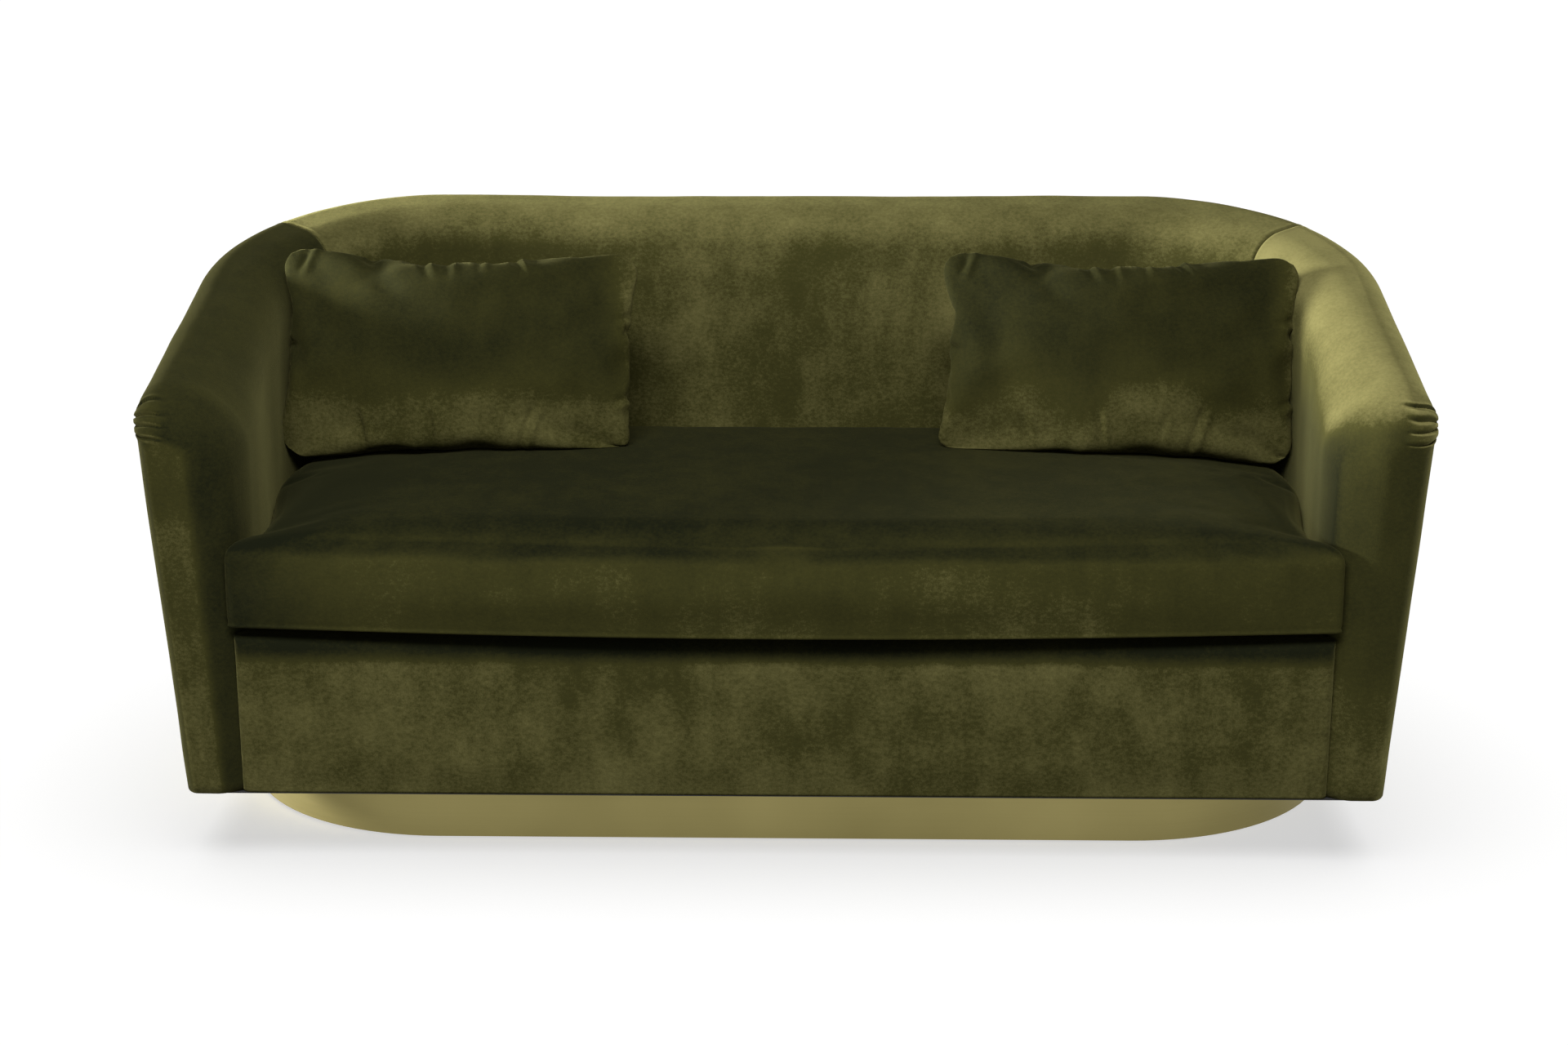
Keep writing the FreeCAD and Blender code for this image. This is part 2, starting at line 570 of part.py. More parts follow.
between_ribs = cut("between_ribs", cut("above_bottom_rib", common("below_top_rib", rib_zone, under_top_rib),
                                       bottom_slab), middle_slab)
UP = ("0", "reach")
HALF_UPRIGHT = "upright_thickness / 2"
ARM_UPRIGHTS = int(value("(base_depth - outer_corner_radius) / arm_upright_spacing"))
BACK_UPRIGHTS = even_count("seat_half_width - inner_corner_radius", "back_upright_spacing")
arm_slabs = []
for index in range(ARM_UPRIGHTS):
    y = f"front_y + {index + 1} * arm_upright_spacing"
    arm_slabs.append(box(f"arm_slab_{index}", ACROSS, (f"{y} - {HALF_UPRIGHT}", f"{y} + {HALF_UPRIGHT}"), UP))
back_slabs = []
for index, x in enumerate(centred_places(BACK_UPRIGHTS, "back_upright_spacing")):
    back_slabs.append(box(f"back_slab_{index}", (f"{x} - {HALF_UPRIGHT}", f"{x} + {HALF_UPRIGHT}"),
                          ("front_y + seat_depth", "front_y + reach"), UP))
corner_slabs = []
for index, side in enumerate((-1, 1)):
    slab = doc.addObject("Part::Box", f"corner_slab_{index}")
    turned(slab, Z_AXIS, "180 - seam_angle" if side < 0 else "seam_angle")
    for prop, text in (("Length", "reach"), ("Width", "upright_thickness"), ("Height", "reach")):
        bind(slab, prop, text)
    bind(slab, "Placement.Base.x", f"{side} * (base_half_width - outer_corner_radius"
                                   f" - {HALF_UPRIGHT} * sin(seam_angle) * {-side})")
    bind(slab, "Placement.Base.y", f"front_y + base_depth - outer_corner_radius"
                                   f" - {side} * {HALF_UPRIGHT} * cos(seam_angle)")
    corner_slabs.append(slab)
SLABS = {"arm_uprights": arm_slabs, "back_uprights": back_slabs, "corner_uprights": corner_slabs}
for label, slabs in SLABS.items():
    node(label, common(f"{label}_plates", between_ribs, group(f"{label}_slabs", slabs)))

# Front panel: timber rail, foam and a velvet cover turned over its top

RAIL_ENDS = ("rail_end_gap - seat_half_width", "seat_half_width - rail_end_gap")
RAIL_FRONT = "front_y + rail_setback"
PAD_FRONT = f"{RAIL_FRONT} + velvet"
TIMBER_FRONT = "post_back - rail_timber"
RAIL_HEIGHT = ("body_bottom", "rail_top")
node("front_rail", box("front_rail_board", RAIL_ENDS, (TIMBER_FRONT, "post_back"), RAIL_HEIGHT))
node("front_rail_pad", box("rail_pad_sheet", RAIL_ENDS, (PAD_FRONT, f"{PAD_FRONT} + rail_pad"), RAIL_HEIGHT))

rail_cover = doc.addObject("PartDesign::Body", "rail_cover")
profile = body_sketch(rail_cover, "rail_cover_profile", "YZ_Plane")
DROP = "rail_top - body_bottom"
TURN = f"post_back - ({RAIL_FRONT})"
corners = [(0, 0), (value("velvet"), 0), (value("velvet"), value(DROP)), (value(TURN), value(DROP)),
           (value(TURN), value(f"{DROP} + velvet")), (0, value(f"{DROP} + velvet"))]
for start, end in zip(corners, corners[1:] + corners[:1]):
    profile.addGeometry(Part.LineSegment(Vector(*start, 0), Vector(*end, 0)), False)
for line in range(len(corners)):
    profile.addConstraint(Sketcher.Constraint("Coincident", line, 2, (line + 1) % len(corners), 1))
    profile.addConstraint(Sketcher.Constraint("Horizontal" if line % 2 == 0 else "Vertical", line))
profile.addConstraint(Sketcher.Constraint("Coincident", 0, 1, -1, 1))
dimension(profile, "front_cloth", Sketcher.Constraint("DistanceX", 0, 1, 0, 2, value("velvet")), "velvet")
dimension(profile, "drop", Sketcher.Constraint("DistanceY", 1, 1, 1, 2, value(DROP)), DROP)
dimension(profile, "turn", Sketcher.Constraint("DistanceX", 5, 2, 3, 2, value(TURN)), TURN)
dimension(profile, "top_cloth", Sketcher.Constraint("DistanceY", 3, 1, 3, 2, value("velvet")), "velvet")
rail_cover_pad = rail_cover.newObject("PartDesign::Pad", "rail_cover_pad")
rail_cover_pad.Profile = profile
rail_cover_pad.Midplane = True
bind(rail_cover_pad, "Length", "2 * (seat_half_width - rail_end_gap)")
bind(rail_cover, "Placement.Base.y", RAIL_FRONT)
bind(rail_cover, "Placement.Base.z", "body_bottom")
node("front_rail_cover", rail_cover)

# Base and deck: cross rails, spring rails, springs in clips, pad and cloth

deck_block = seat_block("deck_block", "inside_stack - deck_gap")
CROSS_SPANS = [(f"{x} - cross_rail_width / 2", f"{x} + cross_rail_width / 2") for x in CROSS_PLACES]
CROSS_TOP = "(body_bottom + cross_rail_height)"
rail_blanks = []
for index, span in enumerate(CROSS_SPANS):
    rail_blanks.append(box(f"cross_rail_{index}", span, BEHIND_POSTS, ("body_bottom", CROSS_TOP)))
trimmed_rails = common("trimmed_cross_rails", group("cross_rail_blanks", rail_blanks), deck_block)
node("base_cross_rails", cut("drilled_cross_rails", trimmed_rails, plinth_screws))

LEDGE = ("spring_rail_top - spring_rail_height", "spring_rail_top")
block_in = "(seat_half_width + inside_stack - deck_gap - block_width)"
front_ledge = ("post_back", "post_back + spring_rail_width")
back_ledge = ("back_rail_front", "back_rail_front + spring_rail_width")
node("front_spring_rail", box("front_ledge", (f"-{block_in}", block_in), front_ledge, LEDGE))
node("back_spring_rail", common("back_ledge_board", box("back_ledge", ACROSS, back_ledge, LEDGE), deck_block))

rail_posts = []
for index, span in enumerate(CROSS_SPANS):
    rail_posts.append(box(f"rail_post_{index}", span, back_ledge, (CROSS_TOP, LEDGE[0])))
node("spring_rail_posts", group("rail_post_group", rail_posts))

blocks = []
for index, (low, high) in enumerate(((block_in, f"{block_in} + block_width"),
                                     (f"-({block_in} + block_width)", f"-{block_in}"))):
    blocks.append(box(f"corner_block_{index}", (low, high), ("post_back", "post_back + block_depth"),
                      (CROSS_TOP, f"{CROSS_TOP} + block_height")))
node("corner_blocks", group("corner_block_group", blocks))

SPRINGS = odd_count("seat_half_width - spring_margin", "spring_spacing")
CLIP_SETBACK = "spring_rail_width / 2"
spring_start = f"post_back + {CLIP_SETBACK}"
spring_end = f"back_rail_front + {CLIP_SETBACK}"
runs = 2 * round(value(f"({spring_end} - ({spring_start})) / spring_step / 2"))
step = value(f"{spring_end} - ({spring_start})") / runs
half_run = value("spring_half_width") - step / 2


def spring_path():
    """A wave of straight runs joined by half circles, each as two quarter arcs, lying level."""
    edges = []
    bend = step / 2
    slant = bend * math.sqrt(0.5)
    for run in range(runs + 1):
        side = 1 if run % 2 == 0 else -1
        y = run * step
        edges.append(Part.LineSegment(Vector(-side * half_run, y, 0), Vector(side * half_run, y, 0)))
        if run == runs:
            break
        middle = y + bend
        top = Vector(side * (half_run + bend), middle, 0)
        edges.append(Part.Arc(Vector(side * half_run, y, 0),
                              Vector(side * (half_run + slant), middle - slant, 0), top))
        edges.append(Part.Arc(top, Vector(side * (half_run + slant), middle + slant, 0),
                              Vector(side * half_run, y + step, 0)))
    return Part.Wire([edge.toShape() for edge in edges])


path = spring_path()
section = Part.Wire(Part.makeCircle(value("spring_wire / 2"), Vector(-half_run, 0, 0), X_AXIS))
wave = path.makePipeShell([section], True, False)
spring_places = [value(x) for x in centred_places(SPRINGS, "spring_spacing")]
springs = doc.addObject("Part::Feature", "spring_group")
springs.Shape = Part.Compound([wave.translated(Vector(x, 0, 0)) for x in spring_places])
spring_base = Vector(0, value(spring_start), value("spring_centre"))
springs.Placement = FreeCAD.Placement(spring_base, FreeCAD.Rotation())
node("seat_springs", springs)

CHANNEL = "(spring_wire / 2 + clip_gap)"
clips = []
for index, x in enumerate(centred_places(SPRINGS, "spring_spacing")):
    for row, y in enumerate((spring_start, spring_end)):
        along = (f"{x} - clip_width / 2", f"{x} + clip_width / 2")
        shell = box(f"clip_shell_{index}_{row}", along,
                    (f"{y} - {CHANNEL} - clip_steel", f"{y} + {CHANNEL} + clip_steel"),
                    ("spring_rail_top", "spring_rail_top + spring_wire + clip_gap + clip_steel"))
        hollow = box(f"clip_hollow_{index}_{row}", along, (f"{y} - {CHANNEL}", f"{y} + {CHANNEL}"),
                     ("spring_rail_top", "spring_rail_top + spring_wire + clip_gap"))
        clips.append(cut(f"clip_{index}_{row}", shell, hollow))
node("spring_clips", group("clip_group", clips))

deck_zone = box("deck_pad_zone", ACROSS, BEHIND_POSTS, ("deck_pad_bottom", "rail_top"))
node("deck_pad", common("deck_pad_sheet", deck_block, deck_zone))
cloth_zone = box("deck_cloth_zone", ACROSS, BEHIND_POSTS, ("rail_top", "deck_top - deck_gap"))
node("deck_cloth", common("deck_cloth_sheet", deck_block, cloth_zone))

# Loose seat cushion: a crowned pad with rounded edges, a velvet cover round a foam core

# Each level: its zone (underside, side band or crown), a share of the zone's height, and its inset.
CUSHION_PROFILE = (
    ("under", 0.0, 46.0), ("under", 0.3, 18.0), ("under", 1.0, 2.0),
    ("band", 0.25, 0.0), ("band", 0.75, 0.0),
    ("crown", 0.0, 2.0), ("crown", 0.5, 16.0), ("crown", 0.82, 52.0),
    ("crown", 0.96, 110.0), ("crown", 1.0, 170.0),
)


def cushion_levels():
    """Heights above the cushion's underside, each with how far its outline lies inside the widest one."""
    rise = value("cushion_edge_rise")
    crown = value("cushion_crown")
    edge = value("cushion_thickness") - crown
    zones = {"under": (0.0, rise), "band": (rise, edge), "crown": (edge, edge + crown)}
    for zone, share, inset in CUSHION_PROFILE:
        low, high = zones[zone]
        yield low + share * (high - low), inset


def cushion_outline(inset, z):
    """One level outline: straight sides and front, round corners, the back following the inside back."""
    half = value("cushion_half") - inset
    front = value("front_y - cushion_overhang") + inset
    back = value("front_y + seat_depth - cushion_back_gap") - inset
    back += value("back_lean") * (z - value("body_bottom"))
    near = value("cushion_front_radius")
    far = max(value("cushion_back_radius") - inset, near)
    slant = 1 - math.sqrt(0.5)

    def point(x, y):
        return Vector(x, y, z)

    def corner(x, y, radius, towards, first_across):
        """The three points of a round corner at x, y; towards points into the outline."""
        across = point(x + towards[0] * radius, y)
        along = point(x, y + towards[1] * radius)
        middle = point(x + towards[0] * radius * slant, y + towards[1] * radius * slant)
        return (across, middle, along) if first_across else (along, middle, across)

    corners = (corner(half, front, near, (-1, 1), True), corner(half, back, far, (-1, -1), False),
               corner(-half, back, far, (1, -1), True), corner(-half, front, near, (1, 1), False))
    edges = []
    for index, (start, middle, end) in enumerate(corners):
        edges.append(Part.Arc(start, middle, end).toShape())
        edges.append(Part.LineSegment(end, corners[(index + 1) % 4][0]).toShape())
    return Part.Wire(edges)


def soft_form(name, outlines):
    """A solid through closed outlines, straight from each to the next."""
    piece = doc.addObject("Part::Feature", name)
    piece.Shape = Part.makeLoft(outlines, True, True)
    return piece


def cushion_form(name, skin):
    """The seat cushion's form, smaller all round by the thickness of a skin."""
    thickness = value("cushion_thickness")
    low = value("cushion_bottom")
    squeeze = (thickness - 2 * skin) / thickness
    outlines = []
    for height, inset in cushion_levels():
        outlines.append(cushion_outline(inset + skin, low + skin + height * squeeze))
    return soft_form(name, outlines)


cushion_skin = value("velvet")
node("seat_cushion_cover", cut("cushion_shell", cushion_form("cushion_full", 0.0),
                               cushion_form("cushion_hollow", cushion_skin)))
node("seat_cushion_core", cushion_form("cushion_foam", cushion_skin + value("filling_gap")))

# Zip in the cushion's back face, with a slider that runs along it

LEAN = "atan(back_lean)"
CUSHION_BACK = "(front_y + seat_depth - cushion_back_gap"
zip_low = "(cushion_bottom + (cushion_thickness - zip_width) / 2)"


def on_cushion_back(name, lengths, x, off, rise):
    """A box against the cushion's slanting back, a distance off it and up it from the zip's lower edge."""
    piece = doc.addObject("Part::Box", name)
    turned(piece, X_AXIS, f"-{LEAN}")
    for prop, text in zip(("Length", "Width", "Height"), lengths):
        bind(piece, prop, text)
    bind(piece, "Placement.Base.x", x)
    bind(piece, "Placement.Base.y", f"{CUSHION_BACK} + back_lean * ({zip_low} - body_bottom))"
                                    f" + ({off}) * cos({LEAN}) + ({rise}) * sin({LEAN})")
    bind(piece, "Placement.Base.z", f"{zip_low} - ({off}) * sin({LEAN}) + ({rise}) * cos({LEAN})")
    return piece


node("seat_zip_tape", on_cushion_back("zip_tape_strip", ("2 * zip_half_length", "zip_tape", "zip_width"),
                                      "-zip_half_length", "zip_gap", "0"))
slider_off = "2 * zip_gap + zip_tape"
slider_body = on_cushion_back("slider_body", ("slider_length", "slider_depth", "slider_width"),
                              "-zip_half_length", slider_off, "(zip_width - slider_width) / 2")
tab_x = "(slider_length - tab_width) / 2 - zip_half_length"
slider_tab = on_cushion_back("slider_tab", ("tab_width", "slider_depth / 2", "tab_length"),
                             tab_x, f"{slider_off} + slider_depth / 2", "zip_width / 2 - tab_length")
slider = doc.addObject("Part::Fuse", "slider_with_tab")
slider.Base = slider_body
slider.Tool = slider_tab
node("seat_zip_slider", slider)

# Pillows: crowned, with sides drawn in between the corners, leaning back on the seat

# Each level is a share of half the thickness and its inset from the seam's outline.
PILLOW_PROFILE = ((0.0, 0.0), (0.14, 3.0), (0.40, 16.0), (0.68, 40.0), (0.88, 76.0), (1.0, 118.0))


def pillow_outline(inset, off):
    """One outline of a pillow, off its middle plane: hollow sides near the seam, full ones near the crown."""
    half_width = value("pillow_width / 2") - inset
    half_height = value("pillow_height / 2") - inset
    radius = value("pillow_corner_radius")
    share = inset / PILLOW_PROFILE[-1][1]
    hollow = value("pillow_draw") - share * value("pillow_draw + pillow_bulge")
    slant = radius * (1 - math.sqrt(0.5))
    edges = []
    for quarter in range(4):
        reach_out, span = (half_height, half_width) if quarter % 2 == 0 else (half_width, half_height)
        side = [Vector(span - radius, -reach_out, off), Vector(0, hollow - reach_out, off),
                Vector(radius - span, -reach_out, off)]
        corner = [side[2], Vector(slant - span, slant - reach_out, off),
                  Vector(-span, radius - reach_out, off)]
        for points in (side, corner):
            spun = [FreeCAD.Rotation(Z_AXIS, -90 * quarter).multVec(point) for point in points]
            edges.append(Part.Arc(*spun).toShape())
    return Part.Wire(edges)


def pillow_form(name, side, skin):
    """A pillow's form, smaller all round by the thickness of a skin, where it stands."""
    half = value("pillow_thickness / 2") - skin
    front = [(share * half, inset + skin) for share, inset in PILLOW_PROFILE]
    back = [(-off, inset) for off, inset in reversed(front[1:])]
    piece = soft_form(name, [pillow_outline(inset, off) for off, inset in back + front])
    piece.Placement = pillow_place(side)
    return piece


def pillow_place(side):
    """Where a pillow stands: its lower corners on the seat, its outer upper corner by the rounded wall."""
    lean = math.radians(value("pillow_lean"))
    half_height = value("pillow_height / 2")
    half_thick = value("pillow_thickness / 2")
    drop = max((half_height - inset) * math.cos(lean) + share * half_thick * math.sin(lean)
               for share, inset in PILLOW_PROFILE)
    z = value("cushion_top + 2 * rest_gap") + drop
    upper = z + half_height * math.cos(lean)
    radius = value("inner_corner_radius")
    into_corner = radius - value("pillow_side_gap")
    wall = value("front_y + seat_depth") + value("back_lean") * (upper - value("body_bottom"))
    wall -= radius - math.sqrt(radius ** 2 - into_corner ** 2)
    y = wall - value("pillow_wall_gap") - half_height * math.sin(lean)
    x = side * value("seat_half_width - pillow_side_gap - pillow_width / 2")
    return FreeCAD.Placement(Vector(x, y, z), FreeCAD.Rotation(X_AXIS, 90 - value("pillow_lean")))


for side, hand in ((-1, "left"), (1, "right")):
    node(f"{hand}_pillow_cover", cut(f"{hand}_pillow_shell", pillow_form(f"{hand}_pillow_full", side, 0.0),
                                     pillow_form(f"{hand}_pillow_hollow", side, value("velvet"))))
    node(f"{hand}_pillow_filling",
         pillow_form(f"{hand}_pillow_fill", side, value("velvet + filling_gap")))

# Checks and files

doc.recompute()
failed = [item.Label for item in doc.Objects if {"Invalid", "Error"} & set(item.State)]
if failed:
    raise RuntimeError(f"objects that failed: {failed}")
for item in NODES:
    if item.Shape.isNull() or not item.Shape.isValid() or not item.Shape.Solids:
        raise RuntimeError(f"bad shape: {item.Label}")

os.makedirs("parts", exist_ok=True)
for item in NODES:
    item.Shape.exportStep(f"parts/{item.Label}.step")
    print(f"{item.Label}: {len(item.Shape.Solids)} solids, {item.Shape.Volume / 1000:.1f} cm3")
print(f"{len(NODES)} sub-parts")
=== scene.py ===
import math
import bmesh
import bpy
import numpy as np
from mathutils import Matrix, Vector, noise


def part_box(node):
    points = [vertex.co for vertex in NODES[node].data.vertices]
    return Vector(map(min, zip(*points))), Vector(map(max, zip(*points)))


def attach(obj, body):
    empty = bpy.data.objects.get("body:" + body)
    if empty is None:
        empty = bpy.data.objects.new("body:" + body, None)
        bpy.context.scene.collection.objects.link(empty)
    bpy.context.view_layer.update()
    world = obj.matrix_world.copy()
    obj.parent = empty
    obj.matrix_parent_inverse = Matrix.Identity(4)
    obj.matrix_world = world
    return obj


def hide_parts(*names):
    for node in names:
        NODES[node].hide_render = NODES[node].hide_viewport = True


# A two-seater tub sofa in olive velvet, on a plinth clad in brass.
# Metres, +Z up, X across the sofa, the front towards -Y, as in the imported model.

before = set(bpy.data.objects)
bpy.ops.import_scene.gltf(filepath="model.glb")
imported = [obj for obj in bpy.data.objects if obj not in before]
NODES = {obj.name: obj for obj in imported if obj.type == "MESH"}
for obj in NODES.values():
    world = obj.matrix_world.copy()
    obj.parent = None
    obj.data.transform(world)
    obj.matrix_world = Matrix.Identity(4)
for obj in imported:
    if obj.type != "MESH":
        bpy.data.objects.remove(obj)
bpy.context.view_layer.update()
SCENE = bpy.context.scene
QUARTER_TURN = math.pi / 2

# Sizes of the body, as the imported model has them
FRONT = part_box("left_arm_cover")[0].y
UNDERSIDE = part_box("left_arm_cover")[0].z
DECK_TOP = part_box("deck_cloth")[1].z
BASE_HALF = 0.830
BASE_DEPTH = 0.737
WALL_FLARE = 0.0754
OUTER_CORNER = 0.286
TOP_FRONT = 0.641
TOP_BACK = 0.803
TOP_SLOPE = (TOP_BACK - TOP_FRONT) / BASE_DEPTH
ROLL_INSIDE = 0.082
ROLL_OUTSIDE = 0.042
SEAT_HALF = 0.745
SEAT_DEPTH = 0.504
BACK_LEAN = 0.232
INNER_CORNER = 0.240
SEAM_SHARE = 38 / 90
HEM_BELOW_ROLL = 0.020

# Upholstery: how the velvet goes round the arm fronts
EDGE_DEPTH = 0.048
EDGE_LEAN = 0.105
EDGE_INSIDE = 0.036
EDGE_INSIDE_LEAN = 0.055
EDGE_OUTSIDE = 0.024
EDGE_OUTSIDE_LEAN = 0.030
EDGE_TOP = 0.052
END_ROLL_INSIDE = 0.019
END_ROLL_OUTSIDE = 0.013
ARM_WRAP = 0.165

# Padding and cloth: a seam is a depth and a width, a wave is a height, a size and a seed
ARM_SWELL = 0.017
CLOTH = 0.004
MERGE_STEP = 0.00025
SOFT_MERGE_STEP = 0.0003
CORNER_SEAM = (0.0030, 0.0016)
HEM_SEAM = (0.0030, 0.0040)
WRAP_SEAM = (0.0020, 0.0030)
CLOTH_WAVES = ((0.0016, 0.22, 1), (0.0007, 0.07, 2))
WALL_FILL = 0.9


# Small helpers

def unit(vector):
    return vector / np.linalg.norm(vector)


def between(first, second, share):
    """What lies a share of the way from the first to the second."""
    return first + (second - first) * share


def middle_of(points):
    """The middle of the box round some points."""
    return (points.min(0) + points.max(0)) / 2


def ease(low, high, values):
    """0 below low, 1 above high, smooth between; low may be above high."""
    share = np.clip((np.asarray(values, float) - low) / (high - low), 0, 1)
    return share * share * (3 - 2 * share)


def bump(values, middle, width):
    """A bell of height 1 about a middle."""
    return np.exp(-((np.asarray(values, float) - middle) / width) ** 2)


def waviness(points, size, seed):
    """Slow random waves, about -1 to 1, at points in space."""
    shift = Vector((seed * 7.31, seed * 3.17, seed * 5.71))
    flat = points.reshape(-1, 3)
    found = [noise.noise(Vector(point) / size + shift) for point in flat]
    return np.array(found).reshape(points.shape[:-1])


def show(name, data):
    """Puts a mesh, a lamp or a camera into the scene as an object."""
    made = bpy.data.objects.new(name, data)
    SCENE.collection.objects.link(made)
    return made


def smooth_shaded(piece):
    piece.data.polygons.foreach_set("use_smooth", [True] * len(piece.data.polygons))
    return piece


def new_object(name, vertices, faces):
    """A smooth-shaded mesh object at the origin."""
    mesh = bpy.data.meshes.new(name)
    mesh.from_pydata([tuple(vertex) for vertex in vertices], [], [tuple(face) for face in faces])
    mesh.validate()
    return smooth_shaded(show(name, mesh))


def grid_quads(rows, columns):
    """Quads of a grid whose points are numbered row by row."""
    row, column = np.meshgrid(np.arange(rows - 1), np.arange(columns - 1), indexing="ij")
    first = (row * columns + column).ravel()
    return np.stack([first, first + 1, first + columns + 1, first + columns], axis=1)


def merge(piece, distance):
    """Joins points that lie together and drops the faces that this leaves without area."""
    work = bmesh.new()
    work.from_mesh(piece.data)
    bmesh.ops.remove_doubles(work, verts=work.verts, dist=distance)
    bmesh.ops.dissolve_degenerate(work, edges=work.edges, dist=distance / 10)
    work.to_mesh(piece.data)
    work.free()


def face_outwards(piece):
    work = bmesh.new()
    work.from_mesh(piece.data)
    bmesh.ops.recalc_face_normals(work, faces=work.faces)
    work.to_mesh(piece.data)
    work.free()


def vectors_of(values, name):
    """Points or directions of a mesh as an array, one to a row."""
    flat = np.empty(len(values) * 3, np.float32)
    values.foreach_get(name, flat)
    return flat.reshape(-1, 3).astype(float)


def points_of(piece):
    return vectors_of(piece.data.vertices, "co")


def normals_of(piece):
    return vectors_of(piece.data.vertex_normals, "vector")


def set_points(piece, points):
    piece.data.vertices.foreach_set("co", np.asarray(points, np.float32).ravel())
    piece.data.update()


def thicken(piece, thickness):
    solid = piece.modifiers.new("cloth thickness", "SOLIDIFY")
    solid.thickness = thickness
    solid.offset = -1


def subdivide(piece, levels):
    smooth = piece.modifiers.new("smooth", "SUBSURF")
    smooth.levels = levels
    smooth.render_levels = levels


def dress(piece, finish):
    piece.data.materials.clear()
    piece.data.materials.append(finish)


def place(piece, body, slot, *nodes):
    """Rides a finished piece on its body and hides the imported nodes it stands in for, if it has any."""
    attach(piece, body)
    if nodes:
        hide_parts(*nodes)


def upholster(piece, cover, body, fill, *nodes):
    """Covers a padded piece in velvet and puts it in its place."""
    dress(piece, cover)
    place(piece, body, "velvet", *nodes)


# Node trees

def feed(socket, value):
    """Sets a socket to a value, or links it to another socket or to a node's first output."""
    if isinstance(value, bpy.types.Node):
        value = value.outputs[0]
    if isinstance(value, bpy.types.NodeSocket):
        socket.id_data.links.new(value, socket)
    else:
        socket.default_value = value


def set_inputs(node, **inputs):
    """Feeds a node's inputs, whose names have underscores here for spaces."""
    for name, value in inputs.items():
        feed(node.inputs[name.replace("_", " ")], value)
    return node


def add_node(tree, kind, **inputs):
    return set_inputs(tree.nodes.new(kind), **inputs)


def math_node(tree, operation, first, second):
    made = tree.nodes.new("ShaderNodeMath")
    made.operation = operation
    feed(made.inputs[0], first)
    feed(made.inputs[1], second)
    return made


# Materials

def material(name):
    """A new node material, its tree and its shader."""
    made = bpy.data.materials.new(name)
    made.use_nodes = True
    tree = made.node_tree
    return made, tree, tree.nodes["Principled BSDF"]


def noise_texture(tree, scale, detail, stretch=(1, 1, 1), seed=0.0):
    """Noise on the piece's own coordinates, stretched along its axes."""
    coordinates = tree.nodes.new("ShaderNodeTexCoord").outputs["Object"]
    shift = (seed, seed * 0.7, seed * 1.3)
    mapping = add_node(tree, "ShaderNodeMapping", Vector=coordinates, Location=shift, Scale=stretch)
    return add_node(tree, "ShaderNodeTexNoise", Vector=mapping, Scale=scale, Detail=detail)


def ramp(tree, source, *stops):
    """A colour ramp from (place, colour) stops."""
    made = add_node(tree, "ShaderNodeValToRGB", Fac=source)
    elements = made.color_ramp.elements
    while len(elements) < len(stops):
        elements.new(0.5)
    for element, (where, colour) in zip(elements, stops):
        element.position = where
        element.color = (*colour, 1)
    return made


def relief(tree, height, strength, distance):
    """A fine uneven surface from a pattern of heights."""
    return add_node(tree, "ShaderNodeBump", Height=height, Strength=strength, Distance=distance)


# Velvet colours: the pile's own olive at the middle stop, painted shade at the dark stop and painted light
# at the pale stop.
PILE_AND_PAINTED_SHADING_COLOURS = (
    (0.0, (0.0088, 0.0102, 0.0046)),
    (0.5, (0.042, 0.040, 0.0108)),
    (1.0, (0.215, 0.196, 0.0730)),
)
SHEEN_TINT = (0.80, 0.75, 0.28, 1)


def velvet(name, sheen):
    """Olive velvet: its colour runs from painted shade to painted light by the value stored at its points,
    shifted by cloudy random patches of the pile's own tone, with a fine fibre grain.
    """
    made, tree, shader = material(name)
    # The stored value is the pile's own tone with painted light and shade.
    attribute = tree.nodes.new("ShaderNodeAttribute")
    attribute.attribute_name = "painted_light_and_tone"
    clouds = noise_texture(tree, 5.0, 3.0, (1, 1, 1.6), 1.0)
    strokes = noise_texture(tree, 26.0, 4.0, (1, 1, 0.45), 4.0)
    mottle = noise_texture(tree, 170.0, 3.0, (1, 1, 1.4), 7.0)
    fibres = noise_texture(tree, 900.0, 2.0, (1, 1, 0.6), 2.0)
    shade_and_tone = attribute.outputs["Fac"]
    for pattern, share in ((clouds, 0.38), (strokes, 0.28), (mottle, 0.28), (fibres, 0.24)):
        swing = math_node(tree, "SUBTRACT", pattern, 0.5)
        shade_and_tone = math_node(tree, "ADD", shade_and_tone, math_node(tree, "MULTIPLY", swing, share))
    set_inputs(shader, Base_Color=ramp(tree, shade_and_tone, *PILE_AND_PAINTED_SHADING_COLOURS), Roughness=0.9, Specular_IOR_Level=0.02)
    set_inputs(shader, Sheen_Weight=sheen, Sheen_Roughness=0.45, Sheen_Tint=SHEEN_TINT)
    set_inputs(shader, Normal=relief(tree, fibres, 0.35, 0.0012))
    return made


def brass():
    """Satin brass sheet, brushed along its length."""
    made, tree, shader = material("satin_brass")
    strokes = noise_texture(tree, 60.0, 4.0, (0.05, 0.05, 9.0), 3.0)
    clouds = noise_texture(tree, 4.0, 2.0, (1, 1, 1), 5.0)
    colour = ramp(tree, clouds, (0.3, (0.245, 0.210, 0.080)), (0.7, (0.305, 0.262, 0.104)))
    rough = math_node(tree, "ADD", math_node(tree, "MULTIPLY", strokes, 0.18), 0.36)
    set_inputs(shader, Base_Color=colour, Roughness=rough, Metallic=1.0)
    set_inputs(shader, Normal=relief(tree, strokes, 0.08, 0.0004))
    return made


